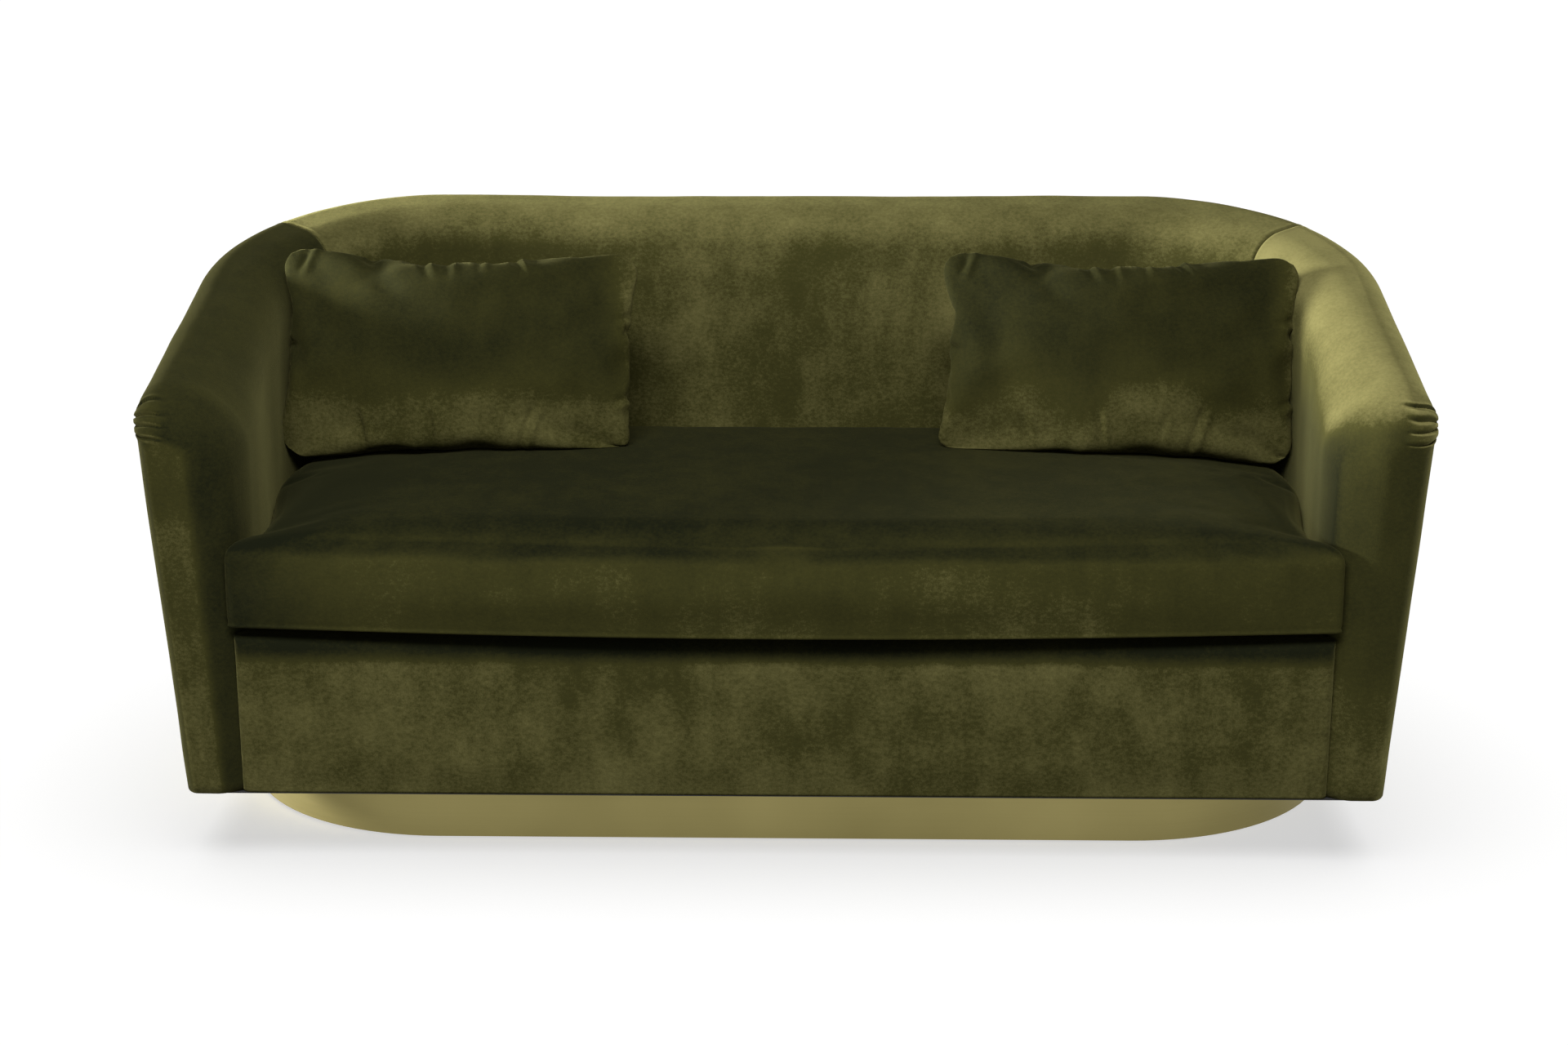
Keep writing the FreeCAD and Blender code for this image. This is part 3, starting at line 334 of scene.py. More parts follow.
def wood(name, pale, dark, stretch):
    """Wood with grain along the axis that is least stretched."""
    made, tree, shader = material(name)
    grain = math_node(tree, "MULTIPLY", noise_texture(tree, 18.0, 6.0, stretch, 2.0), 0.8)
    pores = math_node(tree, "MULTIPLY", noise_texture(tree, 220.0, 2.0, stretch, 6.0), 0.2)
    figure = math_node(tree, "ADD", grain, pores)
    set_inputs(shader, Base_Color=ramp(tree, figure, (0.3, dark), (0.7, pale)), Roughness=0.6)
    set_inputs(shader, Normal=relief(tree, figure, 0.12, 0.0006))
    return made


def plain(name, dark, pale, scale, roughness, metallic=0.0):
    """A material with a cloudy colour and a fine uneven surface."""
    made, tree, shader = material(name)
    grain = noise_texture(tree, scale, 3.0, (1, 1, 1), 1.5)
    colour = ramp(tree, grain, (0.35, dark), (0.65, pale))
    set_inputs(shader, Base_Color=colour, Roughness=roughness, Metallic=metallic)
    set_inputs(shader, Normal=relief(tree, grain, 0.25, 0.0004))
    return made


VELVET = velvet("olive_velvet", 0.24)
LYING_VELVET = velvet("olive_velvet_lying", 0.08)
BRASS = brass()
PLYWOOD = wood("birch_plywood", (0.60, 0.44, 0.26), (0.42, 0.28, 0.15), (6, 6, 0.7))
BEECH = wood("planed_beech", (0.52, 0.34, 0.19), (0.38, 0.23, 0.12), (0.7, 6, 6))
STEEL = plain("spring_steel", (0.22, 0.22, 0.23), (0.34, 0.34, 0.35), 240, 0.38, 1.0)
NYLON = plain("black_nylon", (0.012, 0.012, 0.012), (0.022, 0.022, 0.022), 400, 0.55)
BLACK_CLOTH = plain("black_lining_cloth", (0.010, 0.010, 0.010), (0.026, 0.026, 0.025), 700, 0.95)
ZIP_TAPE = plain("zip_tape_weave", (0.030, 0.031, 0.012), (0.052, 0.050, 0.020), 900, 0.85)
ZIP_METAL = plain("antique_brass_casting", (0.24, 0.18, 0.075), (0.36, 0.28, 0.12), 300, 0.35, 1.0)


# Painted light and shade in the velvet's colour, and the pile's own tone

# Amounts on the stored value: the wall's own tone, then painted light and shade by region and by which way
# a face turns.
WALL_NAP = 0.52
RIGHT_ROLL_PAINTED_LIGHT = 0.48
RIGHT_INSIDE_PAINTED_SHADE = -0.55
RIGHT_FRONT_PAINTED_SHADE = -0.21
LEFT_ARM_PAINTED_SHADE = -0.42
LEFT_ROLL_PAINTED_LIGHT = 0.10
LEFT_EDGE_PAINTED_SHADE = -0.40
BACK_TOP_PAINTED_LIGHT = 0.15
BACK_LEFT_PAINTED_SHADOW = -0.10
FRONT_PANEL_NAP = 0.58
UNDER_CUSHION_PAINTED_SHADOW = -0.55
PLEAT_PAINTED_SHADE_AND_LIGHT = 0.50
FRONT_FOOT_PALING = 0.05
FULLY_FACING = (0.4, 0.8)
PARTLY_FACING = (0.1, 0.5)


def store_tone_and_painted_shading(piece, shade_and_tone):
    """Stores at each point the pile's tone with its painted light and shade."""
    made = piece.data.attributes.new("painted_light_and_tone", "FLOAT", "POINT")
    made.data.foreach_set("value", np.asarray(shade_and_tone, np.float32))


def wall_tone_and_painted_shading(points, normals, side):
    """The wall's tone with painted light and shade: painted light on the right roll and the back's top,
    painted shade on the left arm, low on the right arm's inside and on its front, painted shadow on the
    back's left part, and painted shade in the pleats' creases.
    """
    x, y, z = points.T
    facing_front = ease(*FULLY_FACING, -normals[:, 1])
    at_front = ease(FRONT + 0.11, FRONT + 0.05, y)
    facing_up = ease(0.05 + 0.40 * at_front, 0.70 + 0.25 * at_front, normals[:, 2])
    # Front faces a little paler near the foot.
    front_foot = FRONT_FOOT_PALING * facing_front * ease(0.42, 0.22, z)
    # Painted shade in the pleats' creases, painted light on their puffs.
    pleat_shading = PLEAT_PAINTED_SHADE_AND_LIGHT * pleats(points - gathers(points))
    if side == "right":
        # Right arm: painted light on the roll, painted shade low on the inside and on the front.
        low_inside = ease(*PARTLY_FACING, -normals[:, 0]) * ease(DECK_TOP + 0.34, DECK_TOP + 0.21, z)
        front = RIGHT_FRONT_PAINTED_SHADE * facing_front * ease(0.14, 0.42, z) + front_foot / 2
        lower = RIGHT_INSIDE_PAINTED_SHADE * low_inside * (1 - facing_front) + front
        roll = RIGHT_ROLL_PAINTED_LIGHT * (0.68 + 0.32 * ease(-0.10, 0.15, y))
        return WALL_NAP + roll * facing_up + lower * (1 - facing_up) + pleat_shading
    if side == "left":
        # Left arm: painted shade on the inside, the roll and the front edge, a little painted light on
        # upward faces.
        inside, roll = ease(*PARTLY_FACING, normals[:, 0]), ease(-0.05, 0.25, normals[:, 2])
        front_edge = ease(*FULLY_FACING, -normals[:, 0]) * ease(FRONT + 0.13, FRONT + 0.05, y)
        left_shade = np.minimum(LEFT_ARM_PAINTED_SHADE * np.maximum(inside, roll), LEFT_EDGE_PAINTED_SHADE * front_edge)
        return WALL_NAP + left_shade + LEFT_ROLL_PAINTED_LIGHT * facing_up + front_foot + pleat_shading
    # Back: painted light on its top, painted shadow on its left part.
    return WALL_NAP + BACK_TOP_PAINTED_LIGHT * facing_up + BACK_LEFT_PAINTED_SHADOW * ease(-0.10, -0.50, x) * (1 - facing_up)


def smoothed(piece, values, rounds):
    """Averages values at the points of a mesh with their neighbours, a number of times."""
    ends = np.array([edge.vertices[:] for edge in piece.data.edges])
    count = np.bincount(ends.ravel(), minlength=len(values))[:, None]
    for _ in range(rounds):
        total = np.zeros_like(values)
        np.add.at(total, ends[:, 0], values[ends[:, 1]])
        np.add.at(total, ends[:, 1], values[ends[:, 0]])
        values = (values + total / count) / 2
    return values


# Wall of the tub: ribs up the inside, over the top and down the outside, one row for each place round it

LOWER_SHARES = np.linspace(0, 1, 34)[:-1]
PLAIN_SHARES = 26
OUTER_SHARES = np.concatenate([
    LOWER_SHARES[:PLAIN_SHARES],
    np.linspace(LOWER_SHARES[PLAIN_SHARES], 1, 64)[:-1],
])
UPPER_SHARES = np.linspace(0, 1, 9)[:-1]
INNER_ROLL_POINTS = 26
OUTER_ROLL_POINTS = 44
TOP_POINTS = 4
FACE_ROWS = 9
FIRST_FACE_SHARE = 0.0005
EDGE_ROWS = 64
ARM_ROWS = 46
BEFORE_SEAM_ROWS = 30
AFTER_SEAM_ROWS = 34
SEAM_CROWDING = 1.7
BACK_ROWS = 52
SEAT_START = (0.02, 0.12)
SIDE_POINTS = len(LOWER_SHARES) + len(UPPER_SHARES)
OUTER_START = SIDE_POINTS + INNER_ROLL_POINTS + TOP_POINTS + OUTER_ROLL_POINTS
HEM = OUTER_START + len(UPPER_SHARES) - 1


def foot_point(half, depth, corner, zone, share):
    """A point on the plan of the seat or the body: along the arm, round the corner or along the back."""
    if zone == "arm":
        x, y = half, FRONT + EDGE_DEPTH + share * (depth - corner - EDGE_DEPTH)
    elif zone == "corner":
        turn = share * QUARTER_TURN
        x, y = half - corner + corner * math.cos(turn), FRONT + depth - corner + corner * math.sin(turn)
    else:
        x, y = (half - corner) * (1 - share), FRONT + depth
    return np.array([x, y, UNDERSIDE])


def inside_line(zone, share):
    """The inside face at one place: its lowest point and its run for each metre of height."""
    lean = between(EDGE_LEAN, BACK_LEAN, share) if zone == "arm" else BACK_LEAN
    return foot_point(SEAT_HALF, SEAT_DEPTH, INNER_CORNER, zone, share), np.array([0, lean, 1])


def outside_line(zone, share):
    """The outside face at one place, in the same form."""
    turn = {"arm": 0.0, "corner": share * QUARTER_TURN, "back": QUARTER_TURN}[zone]
    lean = EDGE_OUTSIDE_LEAN * (1 - share) if zone == "arm" else WALL_FLARE * math.sin(turn)
    run = np.array([WALL_FLARE * math.cos(turn), lean, 1])
    return foot_point(BASE_HALF, BASE_DEPTH, OUTER_CORNER, zone, share), run


def meet_top(line, drop):
    """Where a face meets the slanted top, lowered by a drop."""
    low, run = line
    height = (TOP_FRONT - drop - UNDERSIDE + TOP_SLOPE * (low[1] - FRONT)) / (1 - TOP_SLOPE * run[1])
    return low + run * height


def round_corner(before, corner, after, radius, count):
    """Points of a round corner between two straight runs, both ends included."""
    one, two = unit(before - corner), unit(after - corner)
    half = 0.5 * math.acos(np.clip(one @ two, -1, 1))
    centre = corner + unit(one + two) * radius / math.sin(half)
    start = corner + one * radius / math.tan(half) - centre
    end = corner + two * radius / math.tan(half) - centre
    sweep = math.pi - 2 * half
    share = np.linspace(0, 1, count)[:, None]
    return centre + (np.sin((1 - share) * sweep) * start + np.sin(share * sweep) * end) / math.sin(sweep)


def side_points(low, high, lower_shares):
    """Points up a face: at given shares up to the hem's height, and close ones above it."""
    hem = high + unit(low - high) * HEM_BELOW_ROLL
    lower = between(low, hem, lower_shares[:, None])
    upper = between(hem, high, UPPER_SHARES[:, None])
    return np.concatenate([lower, upper])


def rib(inner, outer, low, drop, rolls):
    """One rib of the wall's surface."""
    top_inside, top_outside = meet_top(inner, drop), meet_top(outer, drop)
    foot_inside = inner[0] + inner[1] * low
    foot_outside = outer[0]
    inner_roll = round_corner(foot_inside, top_inside, top_outside, rolls[0], INNER_ROLL_POINTS)
    outer_roll = round_corner(top_inside, top_outside, foot_outside, rolls[1], OUTER_ROLL_POINTS)
    land = between(inner_roll[-1], outer_roll[0], np.linspace(0, 1, TOP_POINTS + 2)[1:-1, None])
    inside = side_points(foot_inside, inner_roll[0], LOWER_SHARES)
    outside = side_points(foot_outside, outer_roll[-1], OUTER_SHARES)
    return np.concatenate([inside, inner_roll, land, outer_roll, outside[::-1]])


def joined_middle(first):
    """The middle line of an arm's front, where the inner and outer halves share their points."""
    inner = first[:SIDE_POINTS]
    nearest = np.abs(first[OUTER_START:, None, 2] - inner[None, :, 2]).argmin(axis=1)
    first[SIDE_POINTS:OUTER_START] = first[SIDE_POINTS]
    first[OUTER_START:] = inner[nearest]
    return first


def arm_end_ribs():
    """Ribs from the middle of an arm's front face, out to its edges and round them."""
    foot_width = BASE_HALF - SEAT_HALF - EDGE_INSIDE - EDGE_OUTSIDE
    width = foot_width + (WALL_FLARE - EDGE_INSIDE_LEAN) * (TOP_FRONT - UNDERSIDE)
    rolls = np.array([ROLL_INSIDE, ROLL_OUTSIDE])
    end_rolls = np.array([END_ROLL_INSIDE, END_ROLL_OUTSIDE])
    face = [(QUARTER_TURN, share) for share in np.linspace(FIRST_FACE_SHARE, 1, FACE_ROWS)[:-1]]
    edge = [(turn, 1.0) for turn in np.linspace(QUARTER_TURN, 0, EDGE_ROWS)]
    ribs = []
    for turn, share in face + edge:
        inset, back = 1 - math.cos(turn), 1 - math.sin(turn)
        y = FRONT + EDGE_DEPTH * back
        inner_low = np.array([SEAT_HALF + EDGE_INSIDE * inset, y, UNDERSIDE])
        outer_low = np.array([BASE_HALF - EDGE_OUTSIDE * inset, y, UNDERSIDE])
        inner_run = np.array([EDGE_INSIDE_LEAN * inset, EDGE_LEAN * back, 1])
        outer_run = np.array([WALL_FLARE, EDGE_OUTSIDE_LEAN * back, 1])
        middle_low, middle_run = (inner_low + outer_low) / 2, (inner_run + outer_run) / 2
        inner = between(middle_low, inner_low, share), between(middle_run, inner_run, share)
        outer = between(middle_low, outer_low, share), between(middle_run, outer_run, share)
        drop = EDGE_TOP * inset + (1 - share) * width / 2
        ribs.append(rib(inner, outer, 0.0, drop, between(rolls, end_rolls, inset) * share))
    return [joined_middle(ribs[0]), *ribs[1:]]


def wall_ribs():
    """Ribs of the right half, from the arm's front to the middle of the back, and the rows of its seams."""
    ribs = arm_end_ribs()
    to_seam = 1 - np.linspace(1, 0, BEFORE_SEAM_ROWS)[1:] ** SEAM_CROWDING
    from_seam = np.linspace(0, 1, AFTER_SEAM_ROWS)[1:] ** SEAM_CROWDING
    stretches = (
        ("arm", np.linspace(0, 1, ARM_ROWS)[1:]),
        ("corner", SEAM_SHARE * to_seam),
        ("corner", between(SEAM_SHARE, 1, from_seam)),
        ("back", np.linspace(0, 1, BACK_ROWS)[1:]),
    )
    ends = []
    for zone, shares in stretches:
        for share in shares:
            low = DECK_TOP - UNDERSIDE
            if zone == "arm":
                low *= float(ease(*SEAT_START, share))
            line_pair = inside_line(zone, share), outside_line(zone, share)
            ribs.append(rib(*line_pair, low, 0.0, (ROLL_INSIDE, ROLL_OUTSIDE)))
        ends.append(len(ribs) - 1)
    ribs = np.array(ribs)
    return ribs, {"wrap": int(np.argmax(ribs[:, HEM, 1] > FRONT + ARM_WRAP)), "seam": ends[1]}


def grid_normals(points):
    """Outward directions at the points of the wall's grid."""
    along = np.gradient(points, axis=0)
    up = np.gradient(points, axis=1)
    normals = np.cross(along, up)
    length = np.linalg.norm(normals, axis=-1, keepdims=True)
    return normals / np.maximum(length, 1e-12)


def run_lengths(points, axis):
    """How far along its own line of the grid each point lies."""
    steps = np.linalg.norm(np.diff(points, axis=axis), axis=-1)
    return np.concatenate([steps.take([0], axis=axis) * 0, np.cumsum(steps, axis=axis)], axis=axis)


def seam_dip(distance, depth, width):
    """How far cloth is drawn in beside a seam, and the small swelling next to it."""
    away = np.abs(distance)
    return depth * (0.25 * bump(away, 3.2 * width, 1.6 * width) - np.exp(-away / width))


PLEATS = 3
PLEAT_TOP = 0.6415
PLEAT_STEP = 0.0153
PLEAT_DROP = 0.0267
PLEAT_CROWDING = 0.0100
PLEAT_TURN = 0.011
PLEAT_REACH = 0.058
PLEAT_DEPTH = 0.0080
PLEAT_CREASE = 0.45
PLEAT_SHARPNESS = 8
PLEAT_DIRECTION = np.array([0.62, -0.62, 0.48])


def pleats(points):
    """Gathers at an arm's outer front corner: puffs between narrow creases that fan out inwards."""
    x, y, z = np.abs(points[..., 0]), points[..., 1], points[..., 2]
    hand = np.sign(points[..., 0])
    inward = BASE_HALF + WALL_FLARE * (TOP_FRONT - UNDERSIDE) - x
    outwards = np.exp(-np.maximum(inward, 0.002) / PLEAT_TURN)
    wobble = 0.0012 * np.sin(inward * 110 + hand * 1.3) + 0.0007 * np.sin(z * 260 + hand)
    below = PLEAT_TOP - PLEAT_DROP * outwards - z + wobble
    place_in = below / (PLEAT_STEP - PLEAT_CROWDING * outwards)
    puff = 1 - np.abs(np.cos(math.pi * place_in)) ** PLEAT_SHARPNESS
    uneven = 0.85 + 0.15 * np.sin(place_in * 2.4 + hand)
    window = ease(-0.5, -0.1, place_in) * ease(PLEATS + 0.5, PLEATS + 0.1, place_in)
    length = PLEAT_REACH * (0.92 + 0.08 * np.sin(place_in * 1.9 + hand * 2))
    reach = ease(length, length * 0.60, inward) * ease(FRONT + 0.135, FRONT + 0.075, y)
    return (puff - PLEAT_CREASE) * uneven * window * reach


def gathers(points):
    """How far the pleats move points of the wall."""
    direction = np.broadcast_to(PLEAT_DIRECTION, points.shape).copy()
    direction[..., 0] *= np.sign(points[..., 0])
    return PLEAT_DEPTH * pleats(points)[..., None] * direction


def swell(y):
    """How far the padding of an arm stands in over the seat, at a depth."""
    return ARM_SWELL * ease(FRONT - 0.005, FRONT + 0.045, y) * ease(FRONT + 0.33, FRONT + 0.12, y)


def upholstered_wall():
    """The whole wall's surface with its softness, from the left arm's front to the right one's."""
    half, marks = wall_ribs()
    points = np.concatenate([half * (-1, 1, 1), half[::-1][1:]])
    last = len(points) - 1
    rows = {f"left_{mark}": row for mark, row in marks.items()}
    rows.update({f"right_{mark}": last - row for mark, row in marks.items()})
    number = np.arange(last + 1)
    from_front = np.minimum(number, last - number)
    normals = grid_normals(points)
    normals[from_front < FACE_ROWS] = (0, -1, 0)
    x, y, z = np.moveaxis(points, -1, 0)
    inward = np.clip(-normals[..., 0] * np.sign(x), 0, 1)
    top = TOP_FRONT + TOP_SLOPE * (y - FRONT)
    offset = swell(y) * inward * ease(top - 0.02, top - 0.11, z)
    for height, size, seed in CLOTH_WAVES:
        offset += height * waviness(points, size, seed)
    around, down = run_lengths(points, 0), run_lengths(points, 1)
    above_deck = ease(DECK_TOP, DECK_TOP + 0.06, z)
    outside = np.arange(points.shape[1]) >= HEM
    for hand in ("left", "right"):
        offset += above_deck * seam_dip(around - around[rows[f"{hand}_seam"]], *CORNER_SEAM)
        offset += outside * seam_dip(around - around[rows[f"{hand}_wrap"]], *WRAP_SEAM)
    behind_wrap = (number >= rows["left_wrap"]) & (number <= rows["right_wrap"])
    offset += behind_wrap[:, None] * seam_dip(down - down[:, [HEM]], *HEM_SEAM)
    offset *= ease(0, 4, from_front)[:, None]
    return points + normals * offset[..., None] + gathers(points), rows


def wall_piece(name, points, chosen):
    """One panel of the wall: the chosen quads of its grid."""
    rows, columns = points.shape[:2]
    quads = grid_quads(rows, columns)[chosen.ravel()][:, ::-1]
    used, numbered = np.unique(quads, return_inverse=True)
    piece = new_object(name, points.reshape(-1, 3)[used], numbered.reshape(quads.shape))
    merge(piece, MERGE_STEP)
    return piece


def build_wall():
    points, rows = upholstered_wall()
    row, column = np.meshgrid(np.arange(len(points) - 1), np.arange(points.shape[1] - 1), indexing="ij")
    left = row < rows["left_seam"]
    right = row >= rows["right_seam"]
    front = (row < rows["left_wrap"]) | (row >= rows["right_wrap"])
    cover = (column < HEM) | front
    panels = {
        "left_arm_upholstery": (left & cover, "left_arm_cover", "left_arm_foam"),
        "right_arm_upholstery": (right & cover, "right_arm_cover", "right_arm_foam"),
        "inside_back_upholstery": (~left & ~right & cover, "inside_back_cover", "back_foam"),
        "left_outside_panel": (left & ~cover, "left_outside_cover"),
        "right_outside_panel": (right & ~cover, "right_outside_cover"),
        "outside_back_panel": (~left & ~right & ~cover, "outside_back_cover"),
    }
    for name, (chosen, *nodes) in panels.items():
        piece = wall_piece(name, points, chosen)
        store_tone_and_painted_shading(piece, wall_tone_and_painted_shading(points_of(piece), normals_of(piece), name.split("_")[0]))
        thicken(piece, CLOTH)
        upholster(piece, VELVET, "frame", WALL_FILL, *nodes)


build_wall()


# Front panel under the seat

PANEL_EDGE = 0.018
PANEL_END = 0.012
PANEL_LAP = 0.003
PANEL_CROWN = 0.004
PANEL_PINCH = 0.0026
PANEL_PINCH_REACH = 0.020
PANEL_WAVES = 0.0012


def panel_plan(low, high):
    """The panel from above: each column's place across, and how far back the wrapped ends lie."""
    turn = np.linspace(0, QUARTER_TURN, 9)
    straight = np.linspace(high.y - low.y, PANEL_END, 6)[:-1]
    back = np.concatenate([straight, PANEL_END * (1 - np.sin(turn))])
    end = low.x - PANEL_LAP + PANEL_END * np.concatenate([straight * 0, 1 - np.cos(turn)])
    middle = np.linspace(end[-1], -end[-1], 150)[1:-1]
    return np.concatenate([end, middle, -end[::-1]]), np.concatenate([back, middle * 0, back[::-1]])


def panel_profile(low, high):
    """The panel's side view: how far back and how high each point is, up the face and over the top."""
    face = [(0, height) for height in np.linspace(low.z, high.z - PANEL_EDGE, 60)]
    turn = np.linspace(0, QUARTER_TURN, 13)[1:]
    edge = zip(PANEL_EDGE * (1 - np.cos(turn)), high.z - PANEL_EDGE * (1 - np.sin(turn)))
    top = [(back, high.z) for back in np.linspace(PANEL_EDGE, high.y - low.y, 5)[1:]]
    return np.array([*face, *edge, *top])


def build_front_panel():
    low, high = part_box("front_rail_cover")
    columns, ends_back = panel_plan(low, high)
    profile = panel_profile(low, high)
    points = np.zeros((len(columns), len(profile), 3))
    points[..., 0] = columns[:, None]
    points[..., 1] = low.y + np.maximum(ends_back[:, None], profile[None, :, 0])
    points[..., 2] = profile[None, :, 1]
    z = points[..., 2]
    from_end = columns[-1] - np.abs(points[..., 0])
    face_only = ease(high.z, high.z - 0.03, z) * ease(PANEL_END, 0, ends_back)[:, None]
    crown = PANEL_CROWN * ease(0, 0.05, from_end) * ease(low.z, low.z + 0.05, z)
    drawn_out = points * (0.2, 1, 1)
    pulls = waviness(drawn_out, 0.016, 9) + 0.6 * waviness(drawn_out, 0.007, 10)
    pinch = PANEL_PINCH * np.exp(-from_end / PANEL_PINCH_REACH) * pulls
    rough = PANEL_WAVES * waviness(points, 0.25, 5) * ease(0, 0.03, from_end)
    points[..., 1] += (pinch + rough - crown) * face_only
    piece = new_object("front_panel", points.reshape(-1, 3), grid_quads(*points.shape[:2])[:, ::-1])
    merge(piece, MERGE_STEP)
    height = points_of(piece)[:, 2]
    # Painted shadow under the cushion along the panel's top edge.
    store_tone_and_painted_shading(piece, FRONT_PANEL_NAP + UNDER_CUSHION_PAINTED_SHADOW * ease(high.z - 0.040, high.z - 0.015, height))
    thicken(piece, CLOTH)
    upholster(piece, VELVET, "frame", WALL_FILL, "front_rail_cover", "front_rail_pad")


build_front_panel()


# Soft pieces blown up by simulation

def inflate(piece, frames, volume, firmness, stiffness, bending, pinned=None):
    """Runs cloth with air inside until it nears a volume, and gives the points where it ends."""
    cloth = piece.modifiers.new("air", "CLOTH")
    settings = cloth.settings
    settings.quality = 5
    settings.mass = 0.3
    settings.tension_stiffness = stiffness
    settings.compression_stiffness = stiffness
    settings.shear_stiffness = stiffness / 2
    settings.bending_stiffness = bending
    settings.air_damping = 2
    settings.use_pressure = True
    settings.uniform_pressure_force = 0
    settings.use_pressure_volume = True
    settings.target_volume = volume
    settings.pressure_factor = firmness
    settings.effector_weights.gravity = 0
    if pinned is not None:
        held = piece.vertex_groups.new(name="held")
        held.add(np.flatnonzero(pinned).tolist(), 1.0, "REPLACE")
        settings.vertex_group_mass = "held"
    cloth.collision_settings.use_collision = False
    cloth.collision_settings.use_self_collision = False
    for number in range(1, frames + 1):
        SCENE.frame_set(number)
    evaluated = piece.evaluated_get(bpy.context.evaluated_depsgraph_get())
    ended = vectors_of(evaluated.data.vertices, "co")
    piece.modifiers.remove(cloth)
    SCENE.frame_set(1)
    return ended


def volume_of(piece):
    work = bmesh.new()
    work.from_mesh(piece.data)
    volume = work.calc_volume()
    work.free()
    return volume


def capped(before, after, limit):
    """Moves each point as simulated, but no further than a limit."""
    move = after - before
    length = np.linalg.norm(move, axis=1, keepdims=True)
    return before + move * np.minimum(1, limit / np.maximum(length, 1e-9))


# Seat cushion

CUSHION_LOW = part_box("seat_cushion_cover")[0]
CUSHION_FRONT = FRONT - 0.002
CUSHION_SIDE_GAP = 0.006
CUSHION_BACK_GAP = 0.010
CUSHION_FRONT_HALF = 0.754
CUSHION_CORNER = 0.013
CUSHION_BACK = FRONT + SEAT_DEPTH - CUSHION_BACK_GAP + BACK_LEAN * (CUSHION_LOW.z - UNDERSIDE)
CUSHION_BACK_CORNER = INNER_CORNER - CUSHION_BACK_GAP
CUSHION_EDGE = 0.450
CUSHION_CROWN = 0.012
CUSHION_BOW = 0.022
CUSHION_ROUND = 0.022
CUSHION_FRONT_RISE = 0.014
CUSHION_FRONT_SAG = 0.006
CUSHION_BACK_RISE = 0.014
ZIP_HALF = 0.300
ZIP_HEIGHT = sum(corner.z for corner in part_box("seat_zip_tape")) / 2
CUSHION_LIP = ((0.010, 0.0), (0.003, 0.0005), (-0.0015, 0.003), (0.0015, 0.0065), (0.0, 0.011))
CUSHION_SIDE_ROWS = 10
CUSHION_ROUND_ROWS = 7
CUSHION_LEAN_REACH = 0.25
CUSHION_SWELL = 0.018
CUSHION_STRETCH = 1.10
CUSHION_ARM_PRESS = 0.003
CUSHION_BACK_PRESS = 0.004
CUSHION_FILL = 0.8
# The cushion's own tone, painted shade on its upward faces, painted shadow at the front's left end.
CUSHION_NAP = 0.46
SEAT_TOP_PAINTED_SHADE = -0.40
CUSHION_LEFT_PAINTED_SHADOW = -0.34


def cushion_half(y):
    """Half the cushion's width at a depth, beside the swelling arms and round the corners."""
    into = np.clip(y - (CUSHION_BACK - CUSHION_BACK_CORNER), 0, CUSHION_BACK_CORNER)
    rounded = CUSHION_BACK_CORNER - np.sqrt(CUSHION_BACK_CORNER ** 2 - into ** 2)
    straight = SEAT_HALF - CUSHION_SIDE_GAP - swell(y)
    flared = straight + (CUSHION_FRONT_HALF - straight) * ease(FRONT + 0.050, FRONT, y)
    into_front = np.clip(CUSHION_FRONT + CUSHION_CORNER - y, 0, CUSHION_CORNER)
    front = CUSHION_CORNER - np.sqrt(CUSHION_CORNER ** 2 - into_front ** 2)
    return flared - rounded - front


def cushion_plan(inset):
    """Points of the cushion seen from above, in rows from front to back, drawn in by an inset."""
    turn = np.linspace(0, QUARTER_TURN, 8)
    front = CUSHION_FRONT + CUSHION_CORNER * (1 - np.cos(turn))
    middle = np.linspace(front[-1], CUSHION_BACK - CUSHION_BACK_CORNER, 44)[1:-1]
    turn = np.linspace(0, QUARTER_TURN, 30)
    back = CUSHION_BACK - CUSHION_BACK_CORNER + CUSHION_BACK_CORNER * np.sin(turn)
    depths = np.concatenate([front, middle, back])
    share = (depths - CUSHION_FRONT) / (CUSHION_BACK - CUSHION_FRONT)
    reach = 0.88 * QUARTER_TURN
    across = np.sin(np.linspace(-reach, reach, 101)) / math.sin(reach)
    plan = np.zeros((len(depths), len(across), 3))
    plan[..., 0] = (cushion_half(depths) - inset)[:, None] * across[None]
    bow = CUSHION_BOW * (1 - across[None] ** 2) * ((1 - share) ** 6)[:, None]
    plan[..., 1] = (depths + inset * (1 - 2 * share))[:, None] - bow
    return plan


def cushion_border(plan):
    """Points round the edge of a plan, in order."""
    return np.concatenate([plan[0, :-1], plan[:-1, -1], plan[-1, :0:-1], plan[::-1, 0]])


def cushion_under(points):
    """Height of the cushion's lower edge: on the deck, and lifted at the front, least in the middle."""
    middle = np.clip(1 - (points[..., 0] / SEAT_HALF) ** 2, 0, 1)
    rise = CUSHION_FRONT_RISE - CUSHION_FRONT_SAG * middle
    return CUSHION_LOW.z + rise * ease(FRONT + 0.06, FRONT - 0.01, points[..., 1])


def cushion_upper(points):
    """Height of the cushion's upper edge."""
    along = (points[..., 1] - CUSHION_FRONT) / (CUSHION_BACK - CUSHION_FRONT)
    return CUSHION_EDGE + CUSHION_BACK_RISE * ease(0.0, 1.0, along)


def lean_back(points):
    """Leans the cushion's back with the sofa's."""
    at_back = ease(CUSHION_BACK - CUSHION_LEAN_REACH, CUSHION_BACK, points[..., 1])
    points[..., 1] += BACK_LEAN * at_back * (points[..., 2] - CUSHION_LOW.z)


